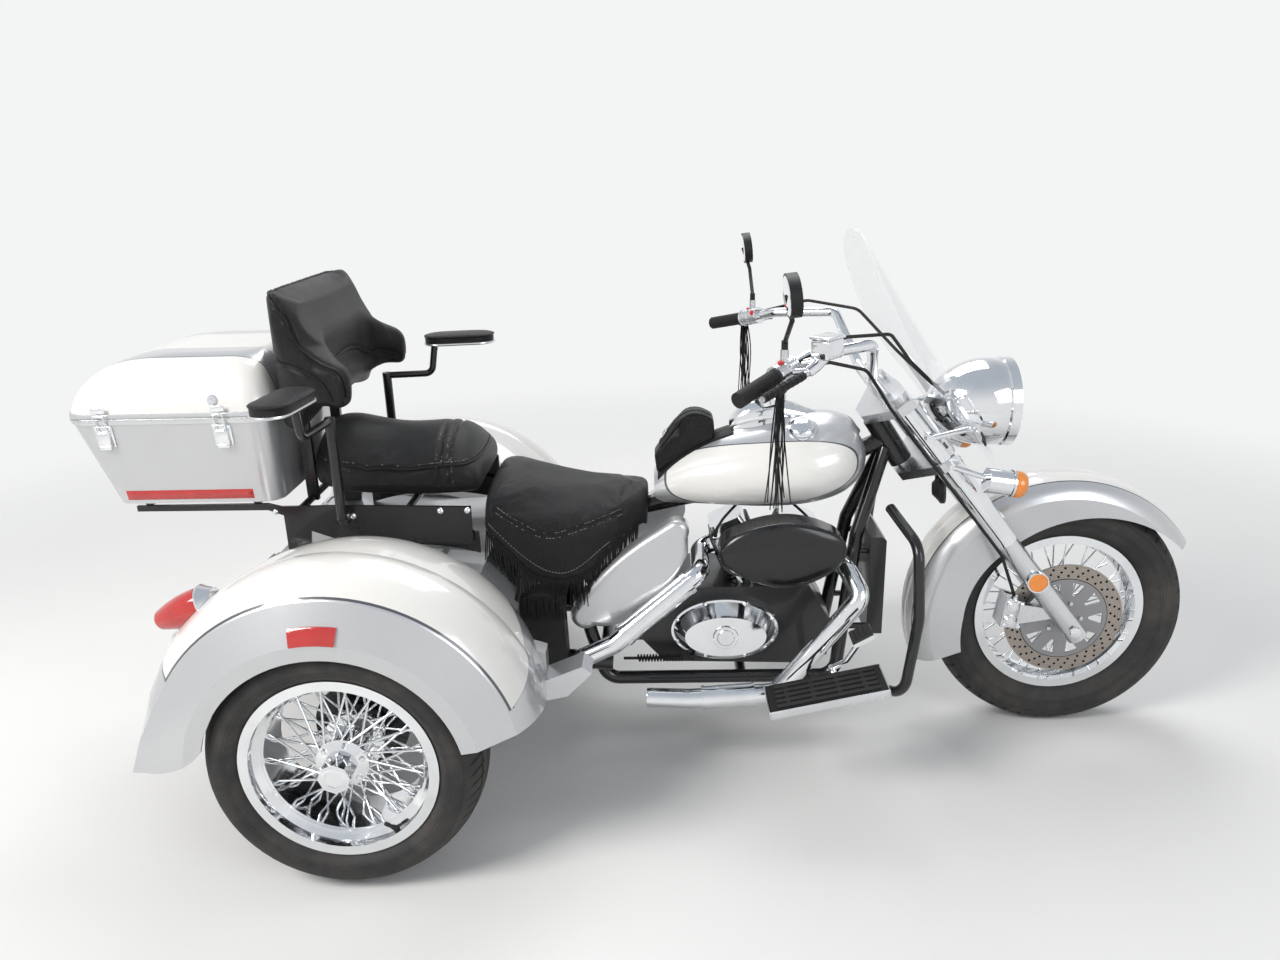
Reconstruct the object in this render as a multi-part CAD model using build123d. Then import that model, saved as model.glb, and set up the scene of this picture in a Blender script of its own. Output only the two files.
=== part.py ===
from build123d import *
from math import asin, cos, pi, radians, sin
import os

# Three-wheeled cruiser motorcycle, in millimetres.
# +X is forward, +Y is the rider's left, +Z is up, and the floor is at Z = 0.
# The origin is on the floor, midway between the nose and the tail.

# Wheels and stance
wheelbase = 1705.0
front_axle_x = 1033.0
rear_axle_x = front_axle_x - wheelbase
front_tyre_r = 320.0
front_tyre_w = 130.0
front_rim_r = 217.0
front_rim_w = 88.0
rear_tyre_r = 297.0
rear_tyre_w = 205.0
rear_rim_r = 208.0
rear_rim_w = 172.0
rear_track = 1170.0

# Steering geometry
rake = 33.3
trail = 58.0
fork_angle = 37.85
fork_half_spread = 118.0
lower_t = 567.0
upper_t = 744.0
plate_t = 24.0
plate_ahead = 30.0
plate_over = 34.0
plate_behind = 26.0

# Clearances
seat_gap = 0.4
bearing_gap = 0.06
running_gap = 6.0
sheet = 4.0


def outline(plane, *marks):
    """Closed face on a plane. A mark is (x, y), or (mid x, mid y, x, y) for an arc."""
    edges = []
    here = marks[0]
    for mark in marks[1:]:
        end = mark[-2:]
        edges.append(Line(here, end) if len(mark) == 2 else ThreePointArc(here, mark[:2], end))
        here = end
    if here != marks[0]:
        edges.append(Line(here, marks[0]))
    return plane * make_face(edges)


def slab(y_low, y_high, *marks):
    """Side outline in X and Z, as thick as the span from y_low to y_high."""
    return extrude(outline(Plane.XZ.offset(-y_high), *marks), y_high - y_low)


def rod(start, end, radius):
    """Round bar between two points."""
    start, end = Vector(*start), Vector(*end)
    axis = end - start
    place = Plane(origin=start, z_dir=axis)
    return place * Cylinder(radius, axis.length, align=(Align.CENTER, Align.CENTER, Align.MIN))


def tube(radius, bend, *points):
    """Round bar bent along a route, with one radius at every corner."""
    path = FilletPolyline(*points, radius=bend)
    return sweep(Plane(origin=path @ 0, z_dir=path % 0) * Circle(radius), path=path)


def across(radius, x, z, y_low, y_high):
    """Round bar that lies across the vehicle."""
    return rod((x, y_low, z), (x, y_high, z), radius)


def turned(x, z, *marks):
    """Ring about an axis across the vehicle; marks are (radius, y)."""
    return revolve(Pos(x, 0, z) * outline(Plane.XY, *marks), Axis((x, 0, z), (0, 1, 0)))


def hoop(x, z, first, last, *marks):
    """Part of a ring about an axis across the vehicle, between two angles up from ahead."""
    a = radians(first)
    plane = Plane(origin=(x, 0, z), x_dir=(cos(a), 0, sin(a)), z_dir=(-sin(a), 0, cos(a)))
    return revolve(outline(plane, *marks), Axis((x, 0, z), (0, -1, 0)), last - first)


def twin(shape):
    """The piece and its mirror image on the other side."""
    return [shape, mirror(shape, Plane.XZ)]


def section(x, half_width, low, high, tuck=0.75, crown=0.3):
    """Cross section at x with a flat base, bulged sides and an arched top."""
    tall = high - low
    wide = half_width
    shoulder = (0.80 * wide, low + (1 - crown) * tall)
    base = (tuck * wide, low)
    return outline(
        Plane(origin=(x, 0, 0), x_dir=(0, 1, 0), z_dir=(1, 0, 0)),
        (-base[0], low),
        base,
        (wide, low + 0.45 * tall * (1 - crown) + 0.1 * tall, shoulder[0], shoulder[1]),
        (0, high, -shoulder[0], shoulder[1]),
        (-wide, low + 0.45 * tall * (1 - crown) + 0.1 * tall, -base[0], low),
    )


parts = {}


def node(name, *shapes):
    solids = []
    for shape in shapes:
        for piece in shape if isinstance(shape, (list, tuple)) else [shape]:
            solids += piece.solids()
    parts[name] = Compound(solids) if len(solids) > 1 else solids[0]


# Steering axis and fork line
ground_x = front_axle_x + trail
steer_up = Vector(-sin(radians(rake)), 0, cos(radians(rake)))


def on_steer(s):
    """Point of the steering axis at distance s above the floor, along the axis."""
    return Vector(ground_x, 0, 0) + steer_up * s


fork_up = Vector(-sin(radians(fork_angle)), 0, cos(radians(fork_angle)))
fork_ahead = Vector(cos(radians(fork_angle)), 0, sin(radians(fork_angle)))
front_axle = Vector(front_axle_x, 0, front_tyre_r)


def on_fork(t, y=0.0, ahead=0.0):
    """Point at distance t up the fork from the axle, y to the left and ahead of its line."""
    return front_axle + fork_up * t + fork_ahead * ahead + Vector(0, y, 0)


def fork_plane(t, ahead=0.0):
    return Plane(origin=on_fork(t, 0, ahead), x_dir=fork_ahead, z_dir=fork_up)


def axis_behind_fork(t):
    """How far the steering axis lies behind the fork line at t, square to the fork."""
    base = on_fork(t)
    spread = radians(fork_angle - rake)
    foot = Vector(ground_x, 0, 0)
    gap = base - foot
    side = gap.X * cos(radians(rake)) + gap.Z * sin(radians(rake))
    return side / cos(spread)


# Tyres
# Each tyre is a solid ring that fills its rim from flange to flange.
def tyre(x, z, outer, width, rim, rim_width):
    seat = rim - 17.0
    bead = rim_width / 2 - sheet - seat_gap
    half = width / 2
    mid = (rim + outer) / 2 - 4
    shoulder = outer - 0.11 * width
    tread = 0.40 * width
    return turned(
        x, z,
        (seat + seat_gap, -bead),
        (rim + 2, -bead),
        (mid, -half, shoulder, -tread),
        (outer, 0, shoulder, tread),
        (mid, half, rim + 2, bead),
        (seat + seat_gap, bead),
    )


# Wire wheel: a stepped rim, a hub with two spoke flanges, and crossed spokes.
def wire_rim(rim, rim_width, well):
    seat = rim - 17.0
    half = rim_width / 2
    step = half - 18
    return turned(
        0, 0,
        (rim, -half),
        (rim, -half + sheet),
        (seat, -half + sheet),
        (seat, -step),
        (well, -step + 14),
        (well, step - 14),
        (seat, step),
        (seat, half - sheet),
        (rim, half - sheet),
        (rim, half),
        (seat - sheet, half),
        (seat - sheet, step - 2),
        (well - sheet, step - 18),
        (well - sheet, -step + 18),
        (seat - sheet, -step + 2),
        (seat - sheet, -half),
    )


def spokes(count, radius, rows):
    """Rows of (hub radius, hub y, rim radius, rim y, lead in degrees)."""
    bars = []
    for i in range(count):
        hub_r, hub_y, rim_r, rim_y, lead = rows[i % len(rows)]
        a = 2 * pi * (i + 0.5) / count
        b = a + radians(lead)
        foot = (hub_r * cos(b), hub_y, hub_r * sin(b))
        bars.append(rod(foot, (rim_r * cos(a), rim_y, rim_r * sin(a)), radius))
    return bars


# Front wheel
front_hub_half = 62.0
front_axle_r = 10.0
front_axle_bore_r = 7.0
front_disc_r = 150.0
front_disc_y = -72.0
front_disc_t = 5.0
front_spokes = 40
front_well = 190.0
front_spoke_r = 2.2
rear_spoke_r = 2.6

node("front_tyre", tyre(front_axle_x, front_tyre_r, front_tyre_r, front_tyre_w, front_rim_r, front_rim_w))
front_flange_y = 44.0
front_rows = [
    (34, front_flange_y + 3, front_well - 2, 8, 24),
    (34, -front_flange_y - 3, front_well - 2, -8, 24),
    (34, front_flange_y - 3, front_well - 2, 2, -24),
    (34, -front_flange_y + 3, front_well - 2, -2, -24),
]
hub = turned(
    0, 0,
    (front_axle_r + bearing_gap, -front_hub_half),
    (24, -front_hub_half),
    (26, -50),
    (38, -front_flange_y - 4),
    (38, -front_flange_y + 4),
    (24, -30),
    (24, 30),
    (38, front_flange_y - 4),
    (38, front_flange_y + 4),
    (26, 50),
    (24, front_hub_half),
    (front_axle_r + bearing_gap, front_hub_half),
)
front_rim = wire_rim(front_rim_r, front_rim_w, front_well) + hub
front_rim += spokes(front_spokes, front_spoke_r, front_rows)
node("front_rim", Pos(*front_axle) * front_rim)

# Front brake disc: a drilled ring on a windowed carrier that clamps to the hub's right end.
carrier_windows = 10
disc = turned(
    0, 0,
    (26.5, front_disc_y - 3),
    (112, front_disc_y - 3),
    (112, front_disc_y - front_disc_t / 2),
    (front_disc_r, front_disc_y - front_disc_t / 2),
    (front_disc_r, front_disc_y + front_disc_t / 2),
    (60, front_disc_y + front_disc_t / 2),
    (45, -front_hub_half + 4),
    (26.5, -front_hub_half + 4),
)
for i in range(carrier_windows):
    turn = Rot(0, 360 / carrier_windows * i, 0)
    disc -= turn * slab(front_disc_y - 12, front_disc_y + 20, (64, -4), (100, -17), (100, 17), (64, 4))
node("front_disc", Pos(*front_axle) * disc)

# Rear wheels
rear_centre_y = rear_track / 2
rear_spokes = 72
rear_well = 172.0
rear_hub_in = 505.0
rear_hub_out = 652.0
rear_spindle_r = 18.0
rear_cap_out = 700.0
outer_flange_y = 640.0
inner_flange_y = 560.0
rear_rows = [
    (52, outer_flange_y + 3.5, rear_well - 1.8, 610, 26),
    (52, outer_flange_y - 3.5, rear_well - 1.8, 598, -26),
    (62, inner_flange_y + 3.5, rear_well - 1.8, 586, 20),
    (62, inner_flange_y - 3.5, rear_well - 1.8, 574, -20),
]
rear_hub = turned(
    0, 0,
    (0, rear_hub_in),
    (55, rear_hub_in),
    (55, rear_hub_in + 10),
    (42, rear_hub_in + 14),
    (42, inner_flange_y - 8),
    (66, inner_flange_y - 4),
    (66, inner_flange_y + 4),
    (44, inner_flange_y + 10),
    (40, outer_flange_y - 10),
    (56, outer_flange_y - 4),
    (56, outer_flange_y + 4),
    (36, rear_hub_out),
    (0, rear_hub_out),
)
rear_hub -= across(rear_spindle_r + bearing_gap, 0, 0, rear_hub_in - 1, 640)
rear_cap = extrude(Plane.XZ.offset(-rear_cap_out) * RegularPolygon(34, 8), rear_cap_out - rear_hub_out + 6)
rear_ring = Pos(0, rear_centre_y, 0) * wire_rim(rear_rim_r, rear_rim_w, rear_well)
rear_wheel = rear_ring + rear_hub + rear_cap + spokes(rear_spokes, rear_spoke_r, rear_rows)
rear_rim = Pos(rear_axle_x, 0, rear_tyre_r) * rear_wheel
rear_tyre = tyre(rear_axle_x, rear_tyre_r, rear_tyre_r, rear_tyre_w, rear_rim_r, rear_rim_w)
rear_tyre = Pos(0, rear_centre_y, 0) * rear_tyre
node("rear_tyre_left", rear_tyre)
node("rear_rim_left", rear_rim)
node("rear_tyre_right", mirror(rear_tyre, Plane.XZ))
node("rear_rim_right", mirror(rear_rim, Plane.XZ))

# Rear axle: a housing with a final drive bulge, end plates and spindles for the wheels
axle_tube_r = 36.0
axle_end = 497.0
axle = across(axle_tube_r, rear_axle_x, rear_tyre_r, -axle_end + 30, axle_end - 30)
axle += Pos(rear_axle_x, 0, rear_tyre_r) * Sphere(74)
axle += across(105, rear_axle_x, rear_tyre_r, axle_end - 34, axle_end)
axle += across(105, rear_axle_x, rear_tyre_r, -axle_end, -axle_end + 34)
axle += across(rear_spindle_r, rear_axle_x, rear_tyre_r, -638, 638)
arm_y = 160.0
arm_r = 24.0
arm_front_x = -130.0
for side in (-1, 1):
    axle += rod((rear_axle_x, side * arm_y, rear_tyre_r), (arm_front_x, side * arm_y, 262), arm_r)
    axle += rod((rear_axle_x, side * 300, rear_tyre_r), (rear_axle_x, side * 300, 380 - seat_gap), 16)
node("rear_axle", axle)

# Trike body: a moulding with a hollow trunk between the rear fenders
body_half = 352.0
trunk_top = 578.0
trunk_floor = 380.0
tail_top = (-940.0, trunk_top)
tail_foot = (-1075.0, 386.0)
trunk_front = -345.0
trunk_marks = [
    (trunk_front, trunk_floor),
    (trunk_front, 470),
    (-430, 555),
    (-800, trunk_top),
    tail_top,
    tail_foot,
    (tail_foot[0] + 5, trunk_floor),
]
trunk_half = 330.0
trunk_outer = slab(-body_half, body_half, *trunk_marks)
trunk_face = offset(outline(Plane.XZ.offset(-(body_half - sheet)), *trunk_marks), -sheet)
trunk_inner = extrude(trunk_face, 2 * (body_half - sheet))
body = trunk_outer - trunk_inner
tail_down = Vector(tail_foot[0] - tail_top[0], 0, tail_foot[1] - tail_top[1]).normalized()
tail_out = Vector(tail_down.Z, 0, -tail_down.X)


def on_tail(down, out):
    """Point (x, z) on the sloping tail, down from its top edge and out from its face."""
    spot = Vector(tail_top[0], 0, tail_top[1]) + tail_down * down + tail_out * out
    return (spot.X, spot.Z)


door_top = 16.0
door_foot = 216.0
body -= slab(
    -trunk_half, trunk_half,
    on_tail(door_top - running_gap, 20),
    on_tail(door_top - running_gap, -20),
    on_tail(door_foot + running_gap, -20),
    on_tail(door_foot + running_gap, 20),
)
# Trunk door in the tail, hung from its top edge on two pins
pin_x, pin_z = on_tail(door_top - 4, 8)
pin_r = 3.0
knuckle_r = 6.0
ear = 5.0
door = slab(
    -trunk_half + running_gap, trunk_half - running_gap,
    on_tail(door_top, 0),
    on_tail(door_foot, 0),
    on_tail(door_foot, -sheet),
    on_tail(door_top, -sheet),
)
for side in (-1, 1):
    near = side * 180.0
    far = side * 240.0
    body += across(pin_r, pin_x, pin_z, near, far)
    for y in (near, far):
        low, high = sorted((y - side * ear * 0.5, y + side * ear * 0.5))
        body += across(knuckle_r - 1, pin_x, pin_z, low, high)
        body += slab(
            low, high,
            on_tail(door_top - 18, -2),
            on_tail(door_top - 18, 3),
            (pin_x + 3, pin_z + 3),
            (pin_x, pin_z),
            on_tail(door_top - 8, -2),
        )
    low, high = sorted((near + side * (ear * 0.5 + 0.6), far - side * (ear * 0.5 + 0.6)))
    door += across(knuckle_r, pin_x, pin_z, low, high)
    door += slab(
        low, high,
        on_tail(door_top + 1, -2),
        on_tail(door_top + 1, 4),
        (pin_x, pin_z),
        on_tail(door_top + 14, 2),
        on_tail(door_top + 14, -2),
    )
    door -= across(pin_r + bearing_gap, pin_x, pin_z, low - 1, high + 1)
node("trike_body", body)
node("trunk_door", door)

# Rear fenders: an arched shell over each rear wheel that slopes down onto the trunk.
# A crease runs round the wheel at crease_r, and the shell flares out at its tail.
lip_r = 271.0
crease_r = 305.0
crown_r = 425.0
crown_y = 520.0
shoulder_r = 382.0
shoulder_y = 668.0
fender_out = 704.0
flare_r = 34.0
flare_y = 26.0
fender_first = 12.0
flare_first = 146.0
fender_last = 178.5


def fender_marks(flare):
    """Profile as (radius, y); flare is 0 along the arch and 1 at the tail."""
    corner_r = shoulder_r + flare_r * flare
    corner_y = shoulder_y + flare_y * flare
    bend_r = crown_r - 13 + 9 * flare
    bend_y = crown_y + 112 + 12 * flare
    return [
        (284, 250),
        (393, body_half + seat_gap),
        (416, 432, crown_r, crown_y),
        (bend_r, bend_y, corner_r, corner_y),
        (crease_r, fender_out),
        (lip_r, fender_out - 3),
        (lip_r, fender_out - 3 - sheet),
        (crease_r - 2, fender_out - sheet),
        (corner_r - sheet, corner_y - sheet),
        (bend_r - sheet, bend_y - 3, crown_r - sheet, crown_y),
        (411, 434, 389, body_half + seat_gap + 1),
        (279, 252),
    ]


def arch_plane(angle):
    a = radians(angle)
    origin = (rear_axle_x, 0, rear_tyre_r)
    return Plane(origin=origin, x_dir=(cos(a), 0, sin(a)), z_dir=(-sin(a), 0, cos(a)))


fender = hoop(rear_axle_x, rear_tyre_r, fender_first, flare_first, *fender_marks(0))
flares = [(flare_first, 0), (158, 0.22), (169, 0.6), (fender_last, 1)]
for (low, less), (high, more) in zip(flares, flares[1:]):
    fender += loft([
        outline(arch_plane(low), *fender_marks(less)),
        outline(arch_plane(high), *fender_marks(more)),
    ])
fender -= slab(
    200, fender_out + 10,
    (-905, 436),
    (-950, 347, -1054, 314),
    (-1200, 312),
    (-1200, 150),
    (-905, 150),
)
trunk_room = offset(outline(Plane.XZ.offset(-(body_half + seat_gap)), *trunk_marks), seat_gap)
fender -= extrude(trunk_room, 2 * (body_half + seat_gap))
fender -= slab(
    200, body_half + seat_gap,
    (-1200, 200),
    (-1200, trunk_floor),
    (trunk_front, trunk_floor),
    (trunk_front, 700),
    (-100, 700),
    (-100, 200),
)
fender += slab(400, 470, (-262, 335), (-262, 385), (-180, 418), (-160, 400), (-215, 345))
fender += slab(400, 444, (-262, 335), (-262, 440), (-350, 470), (-350, 385), (-300, 335))
node("rear_fenders", twin(fender))

# Side boxes ahead of the trunk, inboard of the fenders
side_box = slab(
    190, 250,
    (trunk_front + seat_gap, 300),
    (trunk_front + seat_gap, 468),
    (-330, 480),
    (-252, 474, -240, 440),
    (-236, 300),
    (-244, 272, -262, 268),
    (-316, 268),
)
node("side_boxes", twin(side_box))

# Frame: steering head, backbone, two down tubes and a cradle
head_low = 880.0
head_high = 1014.0
stem_r = 15.0
head_r = 29.0
frame_r = 17.0
cradle_y = 120.0
cradle_z = 190.0
head = rod(on_steer(head_low), on_steer(head_high), head_r)
head_bore = rod(on_steer(head_low - 5), on_steer(head_high + 5), stem_r + bearing_gap)
head_mid = on_steer(947)
frame = head
frame += tube(22, 60, (head_mid.X - 10, 0, head_mid.Z), (400, 0, 716), (-60, 0, 622), (-330, 0, 612))
for side in (-1, 1):
    y = side * cradle_y
    frame += tube(
        frame_r, 45,
        (head_mid.X - 8, side * 12, head_mid.Z - 20),
        (490, side * 70, 560),
        (440, y, cradle_z),
        (-150, y, cradle_z),
        (-215, y * 0.9, 420),
        (-250, side * 14, 612),
    )
frame += across(frame_r, -150, cradle_z + 72, -arm_y + arm_r + seat_gap, arm_y - arm_r - seat_gap)
engine_mount_x = 200.0
frame += across(14, engine_mount_x, cradle_z, -cradle_y, cradle_y)
frame += rod((engine_mount_x, 0, cradle_z), (engine_mount_x, 0, 225.6), 16)
tunnel_half = 52.0
for x, z in ((330, 712), (40, 652)):
    frame += across(10, x, z, -tunnel_half + seat_gap, tunnel_half - seat_gap)
side_cover_in = 132.0
radiator_rear = 520.0
for side in (-1, 1):
    frame += rod((-205, side * 108, 400), (-205, side * (side_cover_in - seat_gap), 400), 8)
    frame += rod((484, side * 75, 520), (radiator_rear - seat_gap, side * 75, 520), 8)
    frame += rod((457, side * 98, 320), (radiator_rear - seat_gap, side * 98, 320), 8)
frame -= head_bore
node("frame", frame)

# Engine: crankcase, two finned cylinders in a narrow V, rocker covers and side covers
crank_x = 260.0
crank_z = 375.0
case_half = 112.0
case_top = 440.0
crankcase = slab(
    -case_half, case_half,
    (crank_x + 160, 246),
    (crank_x + 172, 330),
    (crank_x + 110, case_top),
    (crank_x - 220, case_top),
    (crank_x - 300, 400),
    (crank_x - 320, 300),
    (crank_x - 260, 232),
    (crank_x + 100, 222),
)
vee_half = 22.5
fin_pitch = 11.0
fin_count = 9
barrels = []
covers = []
for lean in (-1, 1):
    up = Vector(sin(radians(vee_half)) * lean, 0, cos(radians(vee_half)))
    place = Plane(origin=Vector(crank_x, 0, crank_z - 20), x_dir=(0, 1, 0), z_dir=up)
    barrel = place * Pos(0, 0, 88) * Cylinder(46, 140, align=(Align.CENTER, Align.CENTER, Align.MIN))
    for i in range(fin_count):
        barrel += place * Pos(0, 0, 96 + fin_pitch * i) * extrude(RectangleRounded(150, 116, 26), 4)
    barrel += place * Pos(0, 0, 96 + fin_pitch * fin_count) * extrude(RectangleRounded(140, 110, 20), 34)
    split = crank_x + lean
    far = crank_x - 400 * lean
    rear_end = crank_x - 300
    front_end = crank_x + 300
    deck = case_top + seat_gap
    barrel -= slab(-150, 150, (split, 100), (split, 800), (far, 800), (far, 100))
    barrel -= slab(-150, 150, (rear_end, 100), (rear_end, deck), (front_end, deck), (front_end, 100))
    barrels.append(barrel)
    cap_base = 96 + fin_pitch * fin_count + 34 + seat_gap
    covers.append(place * Pos(0, 0, cap_base) * extrude(RectangleRounded(128, 100, 24), 30, taper=12))
node("engine_block", crankcase)
node("cylinders", barrels)
node("rocker_covers", covers)


def domed_cover(x, y, z, out, long_half, tall_half, depth):
    """Oval cover on a case wall at y, domed towards out (1 is left, -1 is right)."""
    wall = Plane((x, y, z), x_dir=(1, 0, 0), z_dir=(0, out, 0))
    rim = extrude(wall * Ellipse(long_half, tall_half), depth * 0.35)
    dome = loft([
        wall.offset(depth * 0.35) * Ellipse(long_half - 6, tall_half - 6),
        wall.offset(depth) * Ellipse(long_half - 34, tall_half - 30),
    ])
    return rim + dome


clutch_cover = domed_cover(crank_x - 105, -case_half - seat_gap, 331, -1, 136, 84, 62)
generator_cover = domed_cover(crank_x - 60, case_half + seat_gap, 331, 1, 110, 84, 46)
node("engine_covers", clutch_cover, generator_cover)

# Air cleaner: a black teardrop on the right of the V
air_face = outline(
    Plane.XZ.offset(165),
    (crank_x + 140, 630),
    (crank_x + 176, 588, crank_x + 146, 530),
    (crank_x + 40, 489, crank_x - 70, 520),
    (crank_x - 125, 572, crank_x - 80, 628),
    (crank_x + 30, 656, crank_x + 140, 630),
)
air_cleaner = extrude(air_face, 62)
air_cleaner += across(22, crank_x, 560, -166, -62)
node("air_cleaner", air_cleaner)

# Radiator between the down tubes
radiator = slab(
    -105, 105,
    (radiator_rear, 300),
    (radiator_rear + 40, 300),
    (radiator_rear + 40, 556),
    (radiator_rear + 30, 566),
    (radiator_rear, 566),
)
node("radiator", radiator)

# Exhaust: one pipe from each cylinder, swept down and back on the right
pipe_r = 24.0
pipe_y = -246.0
vee = radians(vee_half)


def head_face(lean, out):
    """Point at the exhaust port on a cylinder head, out from the head's face."""
    up = Vector(sin(vee) * lean, 0, cos(vee))
    ahead = Vector(cos(vee) * lean, 0, -sin(vee))
    spot = Vector(crank_x, -30, crank_z - 20) + up * 212 + ahead * (55 + out)
    return (spot.X, spot.Y, spot.Z)


front_pipe = tube(
    pipe_r, 32,
    head_face(1, seat_gap),
    head_face(1, 36),
    (452, -180, 512),
    (476, pipe_y + 6, 468),
    (276, pipe_y, 214),
    (61, pipe_y, 200),
    (-43, pipe_y, 205),
)
rear_pipe = tube(
    pipe_r, 32,
    head_face(-1, seat_gap),
    head_face(-1, 36),
    (92, -180, 512),
    (-123, pipe_y + 8, 349),
    (-206, pipe_y, 314),
)
node("exhaust_pipes", front_pipe, rear_pipe)

# Fuel tank: a teardrop that straddles the backbone
tank_rows = [
    # x, half width, low, high
    (512, 40, 735, 800),
    (462, 112, 690, 856),
    (335, 148, 660, 864),
    (160, 122, 655, 824),
    (-18, 52, 645, 722),
]
tank = loft([section(*row) for row in tank_rows])
tunnel_marks = [(620, 560), (620, 880), (520, 836), (400, 772), (-80, 672), (-80, 560)]
tunnel = slab(-tunnel_half, tunnel_half, *tunnel_marks)
tank -= tunnel
tank -= rod(on_steer(840), on_steer(1060), head_r + 4)
clamp_centre = on_fork(upper_t, 0, -axis_behind_fork(upper_t))
clamp_sweep = 2 * plate_behind + 2
clamp_low = clamp_centre - steer_up * (plate_t / 2 + running_gap + 4)
tank -= rod(clamp_low, clamp_centre + steer_up * 70, clamp_sweep)
node("fuel_tank", tank)
console_rows = [
    # x, half width, low, high
    (392, 16, 760, 868),
    (330, 36, 760, 892),
    (250, 46, 740, 905),
    (200, 34, 740, 884),
    (172, 14, 760, 850),
]
console_body = loft([section(*row) for row in console_rows])
console = console_body - Pos(0, 0, seat_gap) * tank - Pos(0, 0, seat_gap) * tunnel
console = max(console.solids(), key=lambda piece: piece.center().Z)
node("tank_console", console)

# Leather pouch on the tank, behind the console
pouch = slab(-38, 38, (-12, 720), (-18, 770), (40, 846), (70, 876, 104, 876), (134, 860), (138, 800))
pouch_ends = pouch.faces().sort_by(Axis.Y)
pouch = fillet(pouch_ends[0].edges() + pouch_ends[-1].edges(), 9)
pouch = max((pouch - Pos(0, 0, seat_gap) * tank).solids(), key=lambda piece: piece.center().Z)
node("tank_pouch", pouch)

# Side covers behind the cylinders
side_cover = slab(
    side_cover_in, 178,
    (20, 638),
    (58, 634, 63, 600),
    (63, 556),
    (20, 474, -71, 402),
    (-120, 366, -172, 364),
    (-226, 372, -224, 418),
    (-150, 508, -20, 612),
)
cover_edge = side_cover.faces().sort_by(Axis.Y)[-1].edges()
node("side_covers", twin(fillet(cover_edge, 16)))

# Seats and backrest
rider_rows = [
    # x, half width, low, high
    (-36, 78, 650, 694),
    (-110, 130, 645, 690),
    (-250, 178, 645, 700),
    (-380, 178, 650, 738),
    (-428, 150, 656, 722),
]
rider_seat = loft([section(*row, tuck=0.9) for row in rider_rows])
skirt_t = 3.5
skirt_plan = [(-45, 94), (-110, 140), (-240, 187.3), (-424, 187.3)]
skirt_outer = [(x, y + skirt_t) for x, y in reversed(skirt_plan)]
skirt = extrude(outline(Plane.XY.offset(480), *skirt_plan, *skirt_outer), 220)
skirt &= slab(
    80, 200,
    (-45, 668),
    (-45, 620),
    (-139, 557),
    (-190, 508, -250, 496),
    (-300, 504, -347, 548),
    (-424, 632),
    (-424, 690),
    (-250, 690),
)
node("rider_seat", rider_seat, twin(skirt))
pillion_rows = [
    (-437, 150, 716, 790),
    (-500, 168, 714, 855),
    (-640, 172, 714, 850),
    (-790, 168, 730, 880),
    (-842, 140, 738, 860),
]
node("pillion_seat", loft([section(*row, tuck=0.9) for row in pillion_rows]))
back_front = -790.0
back_rear = -872.0
back_y = 266.0
back_plan = outline(
    Plane.XY.offset(905),
    (-690, back_y),
    (-800, back_y),
    (back_rear + 22, 244, back_rear, 180),
    (back_rear, -180),
    (back_rear + 22, -244, -800, -back_y),
    (-690, -back_y),
    (-690, -back_y + 58),
    (-760, -190, back_front, -120),
    (back_front, 120),
    (-760, 190, -690, back_y - 58),
)
back_side = slab(
    -back_y, back_y,
    (back_front - 16, 905),
    (-780, 938, -720, 958),
    (-694, 966, -692, 1004),
    (-700, 1046, -730, 1066),
    (-790, 1110, back_front - 30, 1190),
    (back_front - 46, 1225),
    (back_rear, 1225),
    (back_rear, 905),
)
node("backrest", extrude(back_plan, 320) & back_side)

# Seat rails and the rack that carries pillion seat, backrest and top case
rail_y = 190.0
rails = slab(
    rail_y, rail_y + 8,
    (-440, 634),
    (-600, 662, -812, 610),
    (-812, trunk_top + seat_gap),
    (-770, 590),
    (-600, 606, -440, 580),
)
for x, z in ((-480, 628), (-700, 636)):
    rails += across(7, x, z, rail_y + 4, 205 - seat_gap)
node("seat_rails", twin(rails))

rack_y = 205.0
rack = slab(
    rack_y, rack_y + 8,
    (-452, 610),
    (-452, 704),
    (-760, 712),
    (-905, 712),
    (-935, 720),
    (-1250, 720),
    (-1250, 706),
    (-935, 704),
    (-900, 690),
    (-900, trunk_top + seat_gap),
    (-850, trunk_top + seat_gap),
    (-840, 650),
    (-760, 620),
    (-480, 610),
)
post_x = -750.0
post_y = rack_y + 38
post_top = 890.0
rack += rod((post_x, post_y, 690), (post_x, post_y, post_top - seat_gap), 12)
rack += rod((post_x, post_y, post_top - 2), (post_x, post_y, post_top + 26), 5)
post_foot = [(post_x - 12, 676), (post_x - 12, 704), (post_x + 12, 704), (post_x + 12, 676)]
rack += slab(rack_y + 4, post_y, *post_foot)
rack_all = rack + mirror(rack, Plane.XZ)
case_low = 734.0
rack_bar_r = 9.0
case_bar_z = case_low - rack_bar_r - seat_gap
for x, z in ((-600, 702), (-960, case_bar_z), (-1220, case_bar_z)):
    rack_all += across(rack_bar_r, x, z, -rack_y - 4, rack_y + 4)
rack_all += across(9, -859, 704, -rack_y - 4, rack_y + 4)
for side in (-1, 1):
    low, high = sorted((side * 108, side * 122))
    rack_all += slab(
        low, high,
        (back_rear, 696),
        (back_rear, 905 - seat_gap),
        (back_rear + 26, 905 - seat_gap),
        (back_rear + 26, 696),
    )
node("case_rack", rack_all)

# Top case: a hollow tapered box whose lid hinges on its left edge
case_front = -880.0
case_rear = -1353.0
case_half_top = 265.0
case_half_low = 235.0
case_split = 946.0
case_wall = 5.0


def case_ring(z, front, rear, half, corner):
    return Pos((front + rear) / 2, 0, z) * RectangleRounded(front - rear, 2 * half, corner)


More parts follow.
